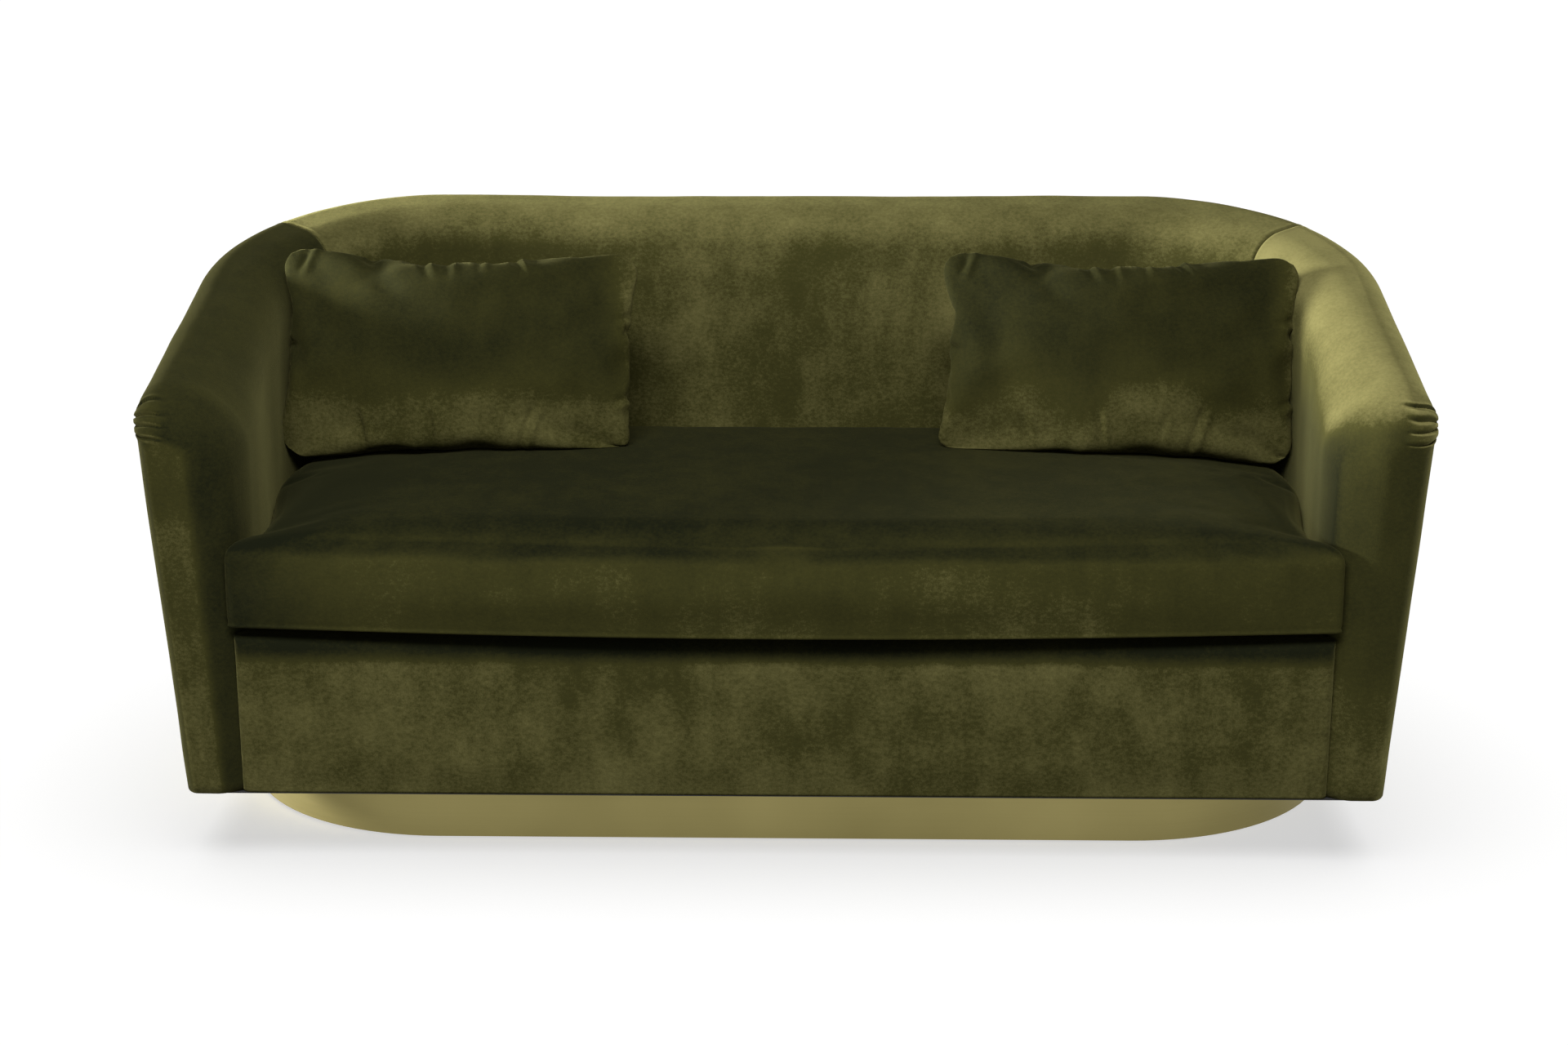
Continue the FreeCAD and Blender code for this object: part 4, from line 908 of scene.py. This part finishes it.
def cushion_profile():
    """The cushion's edge from below: how far in, its share of the height, and the rise from there."""
    profile = [(inset, 0, rise) for inset, rise in CUSHION_LIP]
    for share in np.linspace(0, 1, CUSHION_SIDE_ROWS)[1:-1]:
        profile.append((0.0, share, between(CUSHION_LIP[-1][1], -CUSHION_ROUND, share)))
    for turn in np.linspace(0, QUARTER_TURN, CUSHION_ROUND_ROWS):
        profile.append((CUSHION_ROUND * (1 - math.cos(turn)), 1, CUSHION_ROUND * (math.sin(turn) - 1)))
    return profile


def cushion_shape():
    """The cushion before it is filled: flat under, a sewn lip at its lower edge, a round upper edge."""
    profile = cushion_profile()
    bottom, top = cushion_plan(profile[0][0]), cushion_plan(profile[-1][0])
    bottom[..., 2] = cushion_under(bottom)
    across = top[..., 0] / SEAT_HALF
    along = (top[..., 1] - CUSHION_FRONT) / (CUSHION_BACK - CUSHION_FRONT)
    crown = np.clip(1 - across ** 4, 0, 1) * np.clip(4 * along * (1 - along), 0, 1) ** 0.5
    top[..., 2] = cushion_upper(top) + CUSHION_CROWN * crown
    lean_back(top)
    rings = []
    for inset, share, rise in profile[:-1]:
        ring = cushion_border(cushion_plan(inset))
        ring[:, 2] = between(cushion_under(ring), cushion_upper(ring), share) + rise
        lean_back(ring)
        rings.append(ring)
    band = np.array([*rings, cushion_border(top)])
    size = bottom.shape[0] * bottom.shape[1]
    sheet = grid_quads(*bottom.shape[:2])
    side = grid_quads(*band.shape[:2])
    faces = np.concatenate([sheet[:, ::-1], sheet + size, side[:, ::-1] + 2 * size])
    vertices = np.concatenate([bottom.reshape(-1, 3), top.reshape(-1, 3), band.reshape(-1, 3)])
    return vertices, faces


def cushion_tone_and_painted_shading(points, normals):
    """The cushion's tone on its front, painted shade on the seat's upward faces and a painted shadow at the
    front's left end.
    """
    left_end = ease(-CUSHION_FRONT_HALF + 0.22, -CUSHION_FRONT_HALF, points[:, 0])
    return CUSHION_NAP + SEAT_TOP_PAINTED_SHADE * ease(0.45, 0.95, normals[:, 2]) + CUSHION_LEFT_PAINTED_SHADOW * left_end


def kept_clear(points):
    """Keeps the filled cushion off the arms, the back and the zip's tape."""
    x, y, z = points.T
    limit = cushion_half(np.minimum(y, CUSHION_BACK)) + CUSHION_ARM_PRESS
    beside_arm = (y > FRONT + 0.01) & (y < CUSHION_BACK - CUSHION_BACK_CORNER)
    x = np.where(beside_arm, np.clip(x, -limit, limit), x)
    at_zip = ease(ZIP_HALF + 0.04, ZIP_HALF + 0.01, np.abs(x)) * bump(z, ZIP_HEIGHT, 0.030)
    back = CUSHION_BACK + BACK_LEAN * (z - CUSHION_LOW.z) + CUSHION_BACK_PRESS * (1 - at_zip)
    return np.stack([x, np.minimum(y, back), z], axis=1)


def build_cushion():
    piece = new_object("seat_cushion", *cushion_shape())
    merge(piece, SOFT_MERGE_STEP)
    face_outwards(piece)
    start = points_of(piece)
    pinned = start[:, 2] < CUSHION_LOW.z + CUSHION_FRONT_RISE + 0.008
    volume = volume_of(piece) * CUSHION_STRETCH
    ended = inflate(piece, 18, volume, firmness=10, stiffness=15, bending=1.5, pinned=pinned)
    ended = kept_clear(capped(start, ended, CUSHION_SWELL))
    set_points(piece, ended)
    store_tone_and_painted_shading(piece, cushion_tone_and_painted_shading(ended, smoothed(piece, normals_of(piece), 4)))
    subdivide(piece, 1)
    upholster(piece, LYING_VELVET, "seat_cushion", CUSHION_FILL, "seat_cushion_cover", "seat_cushion_core")
    return piece


CUSHION = build_cushion()


# Pillows
# Where a value has two keys, 1 is the pillow's upper edge and -1 its lower one.
# A pinch is where a fold starts and ends on the pillow's front, and its depth.

PILLOW_LEAN = math.radians(17)
PILLOW_CUT = (0.535, 0.335)
PILLOW_CORNER = 0.035
PILLOW_SIZE = np.array([0.530, 0.314, 0.138])
PILLOW_VOLUME = 0.0110
PILLOW_SINK = 0.022
PILLOW_EARS = {1: 0.012, -1: 0.046}
PILLOW_SOFTNESS = 0.008
PILLOW_FOOT = 0.060
PILLOW_ROLL = math.radians(0.8)
PILLOW_SMOOTHING = 14
PILLOW_SPOTS = 24
PILLOW_STRAIGHT = {1: 0.40, -1: 0.70}
PILLOW_GRID = (100, 62)
PILLOW_DOME = 0.020
PILLOW_FILL = 0.6
FOLD_RIDGE = (0.0065, 0.0055)
FOLD_VALLEY = (-0.001, 0.0045)
# Painted shade over the pillows, painted light in a band along the foot and at the right end.
PILLOW_PAINTED_SHADE = 0.20
PILLOW_PAINTED_LIGHT_BAND = 0.39
PILLOW_PINCHES = (
    ((-0.060, 0.150), (-0.033, 0.106), 0.0050), ((-0.016, 0.148), (-0.006, 0.105), 0.0030),
    ((0.031, 0.148), (0.038, 0.116), 0.0028), ((0.078, 0.150), (0.110, 0.104), 0.0052),
    ((-0.222, 0.150), (-0.236, 0.112), 0.0040), ((-0.137, -0.098), (-0.126, -0.150), 0.0045),
    ((-0.031, -0.092), (-0.024, -0.150), 0.0045), ((0.064, -0.090), (0.057, -0.130), 0.0030),
    ((0.117, -0.088), (0.097, -0.150), 0.0056), ((0.252, 0.060), (0.226, 0.050), 0.0035),
    ((0.252, -0.060), (0.228, -0.072), 0.0040), ((-0.252, 0.020), (-0.230, 0.008), 0.0030),
)


def pillow_sheet(columns, rows):
    """A flat panel with round corners, as it is cut."""
    s, t = np.meshgrid(np.linspace(-1, 1, columns), np.linspace(-1, 1, rows), indexing="ij")
    reach = np.maximum(np.maximum(np.abs(s), np.abs(t)), 1e-6)
    half = np.array(PILLOW_CUT) / 2
    edge = np.stack([s / reach * half[0], t / reach * half[1]], axis=-1)
    over = np.maximum(np.abs(edge) - half + PILLOW_CORNER, 0)
    length = np.linalg.norm(over, axis=-1)
    shrink = np.where(over.min(axis=-1) > 0, PILLOW_CORNER / np.maximum(length, 1e-9), 1)[..., None]
    rounded = np.sign(edge) * (np.abs(edge) - over + over * shrink) * reach[..., None]
    straight = np.stack([s * half[0], t * half[1]], axis=-1)
    share = (reach ** 4)[..., None]
    sheet = np.zeros((columns, rows, 3))
    sheet[..., :2] = straight * (1 - share) + rounded * share
    return sheet, np.sqrt((1 - s ** 2) * (1 - t ** 2))


def pinched(points):
    """Short folds that run in from the pillow's seam, on its front."""
    offset = np.zeros(len(points))
    for start, end, depth in PILLOW_PINCHES:
        start, end = np.array(start), np.array(end)
        along = unit(end - start)
        away = points[:, :2] - start
        share = away @ along / np.linalg.norm(end - start)
        across = away @ np.array([-along[1], along[0]])
        fade = ease(1.15, 0.35, share) * ease(-0.4, 0.0, share)
        offset += depth * fade * (0.9 * bump(across, *FOLD_RIDGE) - bump(across, *FOLD_VALLEY))
    return offset * (points[:, 2] > -0.01)


def straightened(points):
    """Draws the upper and lower edges of a filled pillow part of the way to straight lines."""
    ends = np.linspace(points[:, 0].min(), points[:, 0].max(), PILLOW_SPOTS + 1)
    spot = np.clip(np.digitize(points[:, 0], ends) - 1, 0, PILLOW_SPOTS - 1)
    inside = ease(1.0, 0.88, np.abs(points[:, 0]) / ends[-1])
    for side, amount in PILLOW_STRAIGHT.items():
        reach = np.array([(side * points[spot == number, 1]).max() for number in range(PILLOW_SPOTS)])
        here = np.interp(points[:, 0], (ends[1:] + ends[:-1]) / 2, reach)
        factor = 1 + amount * (reach.max() / here - 1) * inside
        points[:, 1] *= np.where(side * points[:, 1] > 0, factor, 1)


def round_ears(points):
    """Turns the square corners of a filled pillow, seen from its front, into round ones."""
    ear = np.where(points[:, 1:2] > 0, PILLOW_EARS[1], PILLOW_EARS[-1])
    over = np.clip((np.abs(points[:, :2]) - PILLOW_SIZE[:2] / 2) / ear + 1, 0, 1)
    drawn = over * (1 - np.sqrt(1 - over[:, ::-1] ** 2 / 2))
    points[:, :2] -= np.sign(points[:, :2]) * ear * drawn


def pillow_painted_shading(points):
    """Painted shade over the pillow, and painted light in a band along the foot and at the right end."""
    share = (points - points.min(0)) / np.ptp(points, axis=0)
    height = share[:, 2] + 0.12 * waviness(points, 0.09, 6)
    return PILLOW_PAINTED_SHADE + PILLOW_PAINTED_LIGHT_BAND * np.maximum(ease(0.60, 0.22, height), ease(0.88, 1.0, share[:, 0]))


def filled_pillow():
    """Two panels sewn round their edge and filled, lying flat."""
    sheet, dome = pillow_sheet(*PILLOW_GRID)
    dome = PILLOW_DOME * dome * (1 + 0.25 * waviness(sheet, 0.06, 3))
    panels = np.array([sheet, sheet])
    panels[0, ..., 2] = dome
    panels[1, ..., 2] = -dome
    quads = grid_quads(*PILLOW_GRID)
    faces = np.concatenate([quads, quads[:, ::-1] + dome.size])
    piece = new_object("filled_pillow", panels.reshape(-1, 3), faces)
    merge(piece, SOFT_MERGE_STEP)
    face_outwards(piece)
    ended = points_of(piece)
    inside = ease(1.0, 0.86, np.abs(ended[:, :2] / (np.array(PILLOW_CUT) / 2)).max(axis=1))[:, None]
    ended = inflate(piece, 34, PILLOW_VOLUME, firmness=8, stiffness=30, bending=0.25)
    ended += (smoothed(piece, ended, PILLOW_SMOOTHING) - ended) * inside
    ended -= middle_of(ended)
    straightened(ended)
    ended *= PILLOW_SIZE / np.ptp(ended, axis=0)
    round_ears(ended)
    set_points(piece, ended)
    ended += normals_of(piece) * pinched(ended)[:, None]
    set_points(piece, ended)
    return piece


def seated(points):
    """Lets a pillow down on the cushion, and presses its foot flat where it would sink in."""
    seat = points_of(CUSHION)
    seat = seat[(seat[:, 2] > CUSHION_EDGE - 0.01) & (seat[:, 0] * points[:, 0].mean() > 0)]
    foot = np.flatnonzero(points[:, 2] < points[:, 2].min() + PILLOW_FOOT)
    away = np.linalg.norm(points[foot, None, :2] - seat[None, :, :2], axis=2)
    under = seat[away.argmin(axis=1), 2]
    points[:, 2] -= (points[foot, 2] - under).min() + PILLOW_SINK
    rise = points[foot, 2] - under
    points[foot, 2] = under + (rise + np.hypot(rise, PILLOW_SOFTNESS)) / 2


def build_pillows():
    pattern = filled_pillow()
    turn = Matrix.Rotation(PILLOW_ROLL, 3, "Y") @ Matrix.Rotation(QUARTER_TURN - PILLOW_LEAN, 3, "X")
    leaning = points_of(pattern) @ np.array(turn).T
    faces = [tuple(face.vertices) for face in pattern.data.polygons]
    for hand in ("left", "right"):
        name = f"{hand}_pillow"
        piece = new_object(name, leaning, faces)
        low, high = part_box(f"{name}_cover")
        points = leaning + np.array((low + high) / 2) - middle_of(leaning)
        seated(points)
        set_points(piece, points)
        store_tone_and_painted_shading(piece, pillow_painted_shading(points))
        subdivide(piece, 1)
        upholster(piece, LYING_VELVET, name, PILLOW_FILL, f"{name}_cover", f"{name}_filling")
    bpy.data.objects.remove(pattern)


build_pillows()


# Deck cloth under the cushion

DECK_CORNER = INNER_CORNER + 0.03
DECK_CLOTH = 0.001
DECK_WAVES = 0.0004


def build_deck():
    low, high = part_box("deck_cloth")
    rows = np.linspace(low.y, high.y, 50)
    into = np.clip(rows - (high.y - DECK_CORNER), 0, DECK_CORNER)
    half = high.x - (DECK_CORNER - np.sqrt(DECK_CORNER ** 2 - into ** 2))
    across = np.linspace(-1, 1, 120)
    points = np.zeros((len(rows), len(across), 3))
    points[..., 0] = half[:, None] * across[None]
    points[..., 1] = rows[:, None]
    points[..., 2] = high.z + DECK_WAVES * waviness(points, 0.05, 8)
    piece = new_object("deck_lining", points.reshape(-1, 3), grid_quads(*points.shape[:2]))
    dress(piece, BLACK_CLOTH)
    thicken(piece, DECK_CLOTH)
    place(piece, "frame", "black_cloth", "deck_cloth", "deck_pad")


build_deck()


# Geometry trees for what repeats along a line

SOCKET_KINDS = {int: "NodeSocketInt", float: "NodeSocketFloat", tuple: "NodeSocketVector"}


def size_tree(name, sizes):
    """An empty geometry tree with a named input for each size."""
    tree = bpy.data.node_groups.new(name, "GeometryNodeTree")
    tree.interface.new_socket("Geometry", in_out="INPUT", socket_type="NodeSocketGeometry")
    for label, size in sizes.items():
        tree.interface.new_socket(label, in_out="INPUT", socket_type=SOCKET_KINDS[type(size)])
    tree.interface.new_socket("Geometry", in_out="OUTPUT", socket_type="NodeSocketGeometry")
    return tree, tree.nodes.new("NodeGroupInput").outputs


def close_tree(tree, copies, finish):
    """Ends a tree: real geometry instead of copies, and its material."""
    real = add_node(tree, "GeometryNodeRealizeInstances", Geometry=copies)
    painted = add_node(tree, "GeometryNodeSetMaterial", Geometry=real, Material=finish)
    add_node(tree, "NodeGroupOutput", Geometry=painted)
    return tree


def line_object(name, lines):
    """An object of bare edges along one or more lines of points."""
    points = np.concatenate(lines)
    edges = []
    first = 0
    for line in lines:
        edges += [(first + step, first + step + 1) for step in range(len(line) - 1)]
        first += len(line)
    mesh = bpy.data.meshes.new(name)
    mesh.from_pydata([tuple(point) for point in points], edges, [])
    return show(name, mesh)


def grow(name, lines, tree, sizes):
    """Runs a tree on lines and keeps the result as a plain mesh."""
    base = line_object(name + "_line", lines)
    modifier = base.modifiers.new("grow", "NODES")
    modifier.node_group = tree
    for item in tree.interface.items_tree:
        if item.in_out == "INPUT" and item.name in sizes:
            modifier[item.identifier] = sizes[item.name]
    evaluated = base.evaluated_get(bpy.context.evaluated_depsgraph_get())
    mesh = bpy.data.meshes.new_from_object(evaluated)
    base.modifiers.remove(modifier)
    bpy.data.objects.remove(base)
    return show(name, mesh)


def wire_tree(finish, sizes):
    """Round wire along a line, repeated side by side."""
    tree, given = size_tree("wire springs", sizes)
    line = add_node(tree, "GeometryNodeMeshToCurve", Mesh=given["Geometry"])
    ring = add_node(tree, "GeometryNodeCurvePrimitiveCircle", Resolution=WIRE_SIDES)
    set_inputs(ring, Radius=given["Wire Radius"])
    wire = add_node(tree, "GeometryNodeCurveToMesh", Curve=line, Profile_Curve=ring, Fill_Caps=True)
    row = add_node(tree, "GeometryNodeMeshLine", Count=given["Springs"])
    set_inputs(row, Start_Location=given["First Spring"], Offset=given["Spacing"])
    copies = add_node(tree, "GeometryNodeInstanceOnPoints", Points=row, Instance=wire)
    return close_tree(tree, copies, finish)


def row_tree(finish, sizes):
    """Small bars set along a line at even steps, flat on a face whose direction is given."""
    tree, given = size_tree("row of bars", sizes)
    line = add_node(tree, "GeometryNodeMeshToCurve", Mesh=given["Geometry"])
    spots = tree.nodes.new("GeometryNodeCurveToPoints")
    spots.mode = "LENGTH"
    set_inputs(spots, Curve=line, Length=given["Step"])
    bar = add_node(tree, "GeometryNodeMeshCube", Size=given["Bar Size"])
    along = add_node(tree, "FunctionNodeAlignRotationToVector", Vector=spots.outputs["Tangent"])
    along.axis = "X"
    upright = add_node(tree, "FunctionNodeAlignRotationToVector", Rotation=along)
    set_inputs(upright, Vector=given["Face Direction"])
    upright.axis = "Z"
    upright.pivot_axis = "X"
    copies = add_node(tree, "GeometryNodeInstanceOnPoints", Points=spots, Instance=bar, Rotation=upright)
    return close_tree(tree, copies, finish)


# Seat springs

SPRING_COUNT = 13
SPRING_SPACING = 0.105
SPRING_WIRE = 0.0038
SPRING_STEP = 0.026
SPRING_ROW_HALF = SPRING_SPACING * (SPRING_COUNT - 1) / 2
BEND_POINTS = 9
WIRE_SIDES = 8


def spring_wave():
    """One spring's line: level runs across, joined by half circles, from clip to clip."""
    low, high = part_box("seat_springs")
    start, end = low.y + SPRING_WIRE / 2, high.y - SPRING_WIRE / 2
    runs = 2 * round((end - start) / SPRING_STEP / 2)
    bend = (end - start) / runs / 2
    half_run = high.x - SPRING_ROW_HALF - SPRING_WIRE / 2 - bend
    points = [(-half_run, start)]
    for run in range(runs):
        side = 1 if run % 2 == 0 else -1
        middle = start + (2 * run + 1) * bend
        for turn in np.linspace(-QUARTER_TURN, QUARTER_TURN, BEND_POINTS):
            points.append((side * (half_run + bend * math.cos(turn)), middle + bend * math.sin(turn)))
    points.append((half_run, end))
    return np.array([(x, y, low.z + SPRING_WIRE / 2) for x, y in points])


def build_springs():
    sizes = {
        "Wire Radius": SPRING_WIRE / 2,
        "Springs": SPRING_COUNT,
        "First Spring": (-SPRING_ROW_HALF, 0.0, 0.0),
        "Spacing": (SPRING_SPACING, 0.0, 0.0),
    }
    piece = smooth_shaded(grow("wave_springs", [spring_wave()], wire_tree(STEEL, sizes), sizes))
    place(piece, "frame", "spring_steel", "seat_springs")


build_springs()


# Zip teeth on the cushion's back

TEETH_STEP = 0.0034
TOOTH = (0.0019, 0.0030, 0.0014)
TOOTH_APART = 0.42 * TOOTH[1]
TAPE_THICKNESS = 0.0012
TAPE_END = 0.004


def build_zip_teeth():
    """Two rows of teeth, each a half step from the other, on the tape's outer face."""
    low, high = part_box("seat_zip_tape")
    lean = math.atan(BACK_LEAN)
    up = np.array([0, math.sin(lean), math.cos(lean)])
    out = np.array([0, math.cos(lean), -math.sin(lean)])
    middle = np.array([0, (low.y + high.y) / 2, ZIP_HEIGHT]) + out * (TAPE_THICKNESS + TOOTH[2]) / 2
    lines = []
    for side, shift in ((-1, 0), (1, TEETH_STEP / 2)):
        ends = np.array([[low.x + TAPE_END + shift, 0, 0], [high.x - TAPE_END + shift, 0, 0]])
        lines.append(ends + middle + up * side * TOOTH_APART)
    sizes = {"Step": TEETH_STEP, "Bar Size": TOOTH, "Face Direction": tuple(float(value) for value in out)}
    piece = grow("zip_teeth", lines, row_tree(ZIP_METAL, sizes), sizes)
    place(piece, "seat_cushion", "zip_metal")


build_zip_teeth()


# Dust cover under the body, stapled round its edge

DUST_INSET = 0.004
DUST_ROWS = 7
DUST_CLOTH = 0.0005
DUST_SAG = 0.0020
DUST_WAVES = 0.0008
DUST_GAP = 0.0006
PLINTH_GAP = 0.001
STAPLE_INSET = 0.009
STAPLE_DROP = 0.0022
STAPLE = (0.011, 0.0013, 0.0009)
STAPLE_STEP = 0.042


def body_outline():
    """The lower edge of the body seen from above: round the outside, then straight across the front."""
    half, _ = wall_ribs()
    side = half[:, -1, :2]
    return np.concatenate([side * (-1, 1), side[::-1][1:]])[::2]


def drawn_in(outline, inset):
    """An outline moved inwards by an inset."""
    ahead, behind = np.roll(outline, -1, axis=0), np.roll(outline, 1, axis=0)
    along = ahead - behind
    along /= np.linalg.norm(along, axis=1, keepdims=True)
    inwards = np.stack([along[:, 1], -along[:, 0]], axis=1)
    towards_middle = np.sign(np.sum(inwards * (outline.mean(axis=0) - outline), axis=1).mean())
    return outline + inwards * towards_middle * inset


def onto_plinth(outline, gap):
    """The nearest points to an outline on the plinth's, which has half-round ends."""
    low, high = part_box("plinth_band")
    radius = (high.y - low.y) / 2
    centre_y = (low.y + high.y) / 2
    reach = high.x - radius
    spine = np.stack([np.clip(outline[:, 0], -reach, reach), np.full(len(outline), centre_y)], axis=1)
    away = outline - spine
    return spine + away / np.linalg.norm(away, axis=1, keepdims=True) * (radius + gap)


def closed_front(outline):
    """The outline with points added across the front, between its two ends."""
    straight = np.linspace(outline[-1], outline[0], 60)[1:-1]
    return np.concatenate([outline, straight])


def build_dust_cover():
    outer = drawn_in(closed_front(body_outline()), DUST_INSET)
    inner = onto_plinth(outer, PLINTH_GAP)
    shares = np.linspace(0, 1, DUST_ROWS)
    loose = np.sin(math.pi * shares)[None]
    points = np.zeros((len(outer) + 1, DUST_ROWS, 3))
    ring = between(outer[:, None], inner[:, None], shares[None, :, None])
    points[..., :2] = np.concatenate([ring, ring[:1]])
    points[..., 2] = UNDERSIDE - DUST_GAP + loose * (DUST_WAVES * waviness(points, 0.05, 12) - DUST_SAG)
    piece = new_object("underside_lining", points.reshape(-1, 3), grid_quads(*points.shape[:2])[:, ::-1])
    merge(piece, MERGE_STEP)
    dress(piece, BLACK_CLOTH)
    thicken(piece, DUST_CLOTH)
    place(piece, "frame", "black_cloth", "dust_cover")
    build_staples(drawn_in(outer, STAPLE_INSET))


def build_staples(outline):
    closed = np.concatenate([outline, outline[:1]])
    height = np.full((len(closed), 1), UNDERSIDE - STAPLE_DROP)
    sizes = {"Step": STAPLE_STEP, "Bar Size": STAPLE, "Face Direction": (0.0, 0.0, -1.0)}
    piece = grow("lining_staples", [np.hstack([closed, height])], row_tree(STEEL, sizes), sizes)
    place(piece, "frame", "spring_steel")


build_dust_cover()


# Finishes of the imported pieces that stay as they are

PLY_ENDINGS = ("_lining", "_post", "_rib", "_ribs", "_uprights", "_board", "_former")
FINISHES = {
    BRASS: ["plinth_band"],
    PLYWOOD: [name for name in NODES if name.endswith(PLY_ENDINGS)],
    BEECH: ["front_rail", "base_cross_rails", "front_spring_rail", "back_spring_rail",
            "spring_rail_posts", "corner_blocks"],
    STEEL: ["spring_clips", "plinth_screws"],
    NYLON: ["floor_glides"],
    ZIP_TAPE: ["seat_zip_tape"],
    ZIP_METAL: ["seat_zip_slider"],
}
for finish, names in FINISHES.items():
    for name in names:
        dress(NODES[name], finish)


# Stage: pale floor, soft lights and the camera

FLOOR_HALF = 40.0
FLOOR_GREY = (0.60, 0.60, 0.60, 1)
FLOOR_GLOW = 0.60
FLOOR_LIGHT = 2.1
FLOOR_LIGHT_SPREAD = math.radians(70)
AMBIENT = 0.08
CAMERA_LENS = 59.15
CAMERA_PLACE = (0.0593, FRONT - 3.2936, 1.4425)
CAMERA_TILT = math.radians(16.2)
CAMERA_TURN = math.radians(1.0)


def seen_directly(tree):
    """1 for rays from the camera, or from metal or glass that shows the background, and 0 for others."""
    rays = tree.nodes.new("ShaderNodeLightPath").outputs
    reflected = math_node(tree, "MAXIMUM", rays["Is Glossy Ray"], rays["Is Transmission Ray"])
    return math_node(tree, "MAXIMUM", rays["Is Camera Ray"], reflected)


def build_floor():
    corners = [(x * FLOOR_HALF, y * FLOOR_HALF, 0) for x, y in ((-1, -1), (1, -1), (1, 1), (-1, 1))]
    piece = new_object("floor", corners, [range(4)])
    made, tree, shader = material("pale_floor")
    tree.nodes.remove(shader)
    matt = add_node(tree, "ShaderNodeBsdfDiffuse", Color=FLOOR_GREY)
    glow = math_node(tree, "MULTIPLY", seen_directly(tree), FLOOR_GLOW)
    both = tree.nodes.new("ShaderNodeAddShader")
    feed(both.inputs[0], matt)
    feed(both.inputs[1], add_node(tree, "ShaderNodeEmission", Strength=glow))
    set_inputs(tree.nodes["Material Output"], Surface=both)
    dress(piece, made)
    return piece


def build_world():
    SCENE.world = bpy.data.worlds.new("studio")
    SCENE.world.use_nodes = True
    tree = SCENE.world.node_tree
    white = math_node(tree, "MULTIPLY", seen_directly(tree), 1 - AMBIENT)
    level = math_node(tree, "ADD", white, AMBIENT)
    set_inputs(tree.nodes["Background"], Color=(1, 1, 1, 1), Strength=level)


def add_lamp(name, kind, power, lit):
    """A lamp that shines on what a set holds."""
    lamp = show(name, bpy.data.lights.new(name, kind))
    lamp.data.energy = power
    lamp.light_linking.receiver_collection = lit
    return lamp


def area_light(name, where, towards, size, power, lit):
    lamp = add_lamp(name, "AREA", power, lit)
    lamp.data.shape = "RECTANGLE"
    lamp.data.size, lamp.data.size_y = size
    lamp.location = where
    lamp.rotation_euler = (Vector(towards) - Vector(where)).to_track_quat("-Z", "Y").to_euler()
    lamp.visible_camera = False


def all_but(*pieces):
    """A set of things that lamps shine on, without some of them."""
    made = bpy.data.collections.new("not lit by this lamp")
    for piece in pieces:
        made.objects.link(piece)
    for entry in made.collection_objects:
        entry.light_linking.link_state = "EXCLUDE"
    return made


def light_floor_only(floor):
    """Even soft light from above for the floor alone, with the sofa's shadow in it."""
    lit = bpy.data.collections.new("lit by the floor light")
    lit.objects.link(floor)
    add_lamp("floor light", "SUN", FLOOR_LIGHT, lit).data.angle = FLOOR_LIGHT_SPREAD


def build_camera():
    camera = show("camera", bpy.data.cameras.new("camera"))
    camera.data.lens = CAMERA_LENS
    camera.data.sensor_width = 36.0
    camera.location = CAMERA_PLACE
    camera.rotation_euler = (QUARTER_TURN - CAMERA_TILT, 0, CAMERA_TURN)
    SCENE.camera = camera


FLOOR = build_floor()
BEHIND_KEY = ("left_arm_upholstery", "left_outside_panel", "outside_back_panel")
SOFA = all_but(FLOOR)
RIGHT_OF_LEFT_ARM = all_but(FLOOR, *(bpy.data.objects[name] for name in BEHIND_KEY))
SIDES = all_but(FLOOR, NODES["plinth_band"])
light_floor_only(FLOOR)
build_world()
area_light("key", (-3.6, -0.05, 1.05), (0.75, -0.05, 0.62), (0.8, 0.5), 380, RIGHT_OF_LEFT_ARM)
area_light("overhead", (-0.4, -2.7, 3.3), (0.0, 0.0, 0.35), (2.8, 1.0), 150, SOFA)
area_light("low behind", (0.0, 3.6, 0.50), (0.0, 0.4, 0.45), (3.4, 0.7), 100, SIDES)
area_light("low left", (-4.0, 0.2, 0.45), (-0.85, 0.1, 0.40), (1.6, 0.6), 65, SIDES)
area_light("low right", (4.0, 0.2, 0.45), (0.85, 0.1, 0.40), (1.6, 0.6), 65, SIDES)
build_camera()
SCENE.view_settings.view_transform = "Standard"
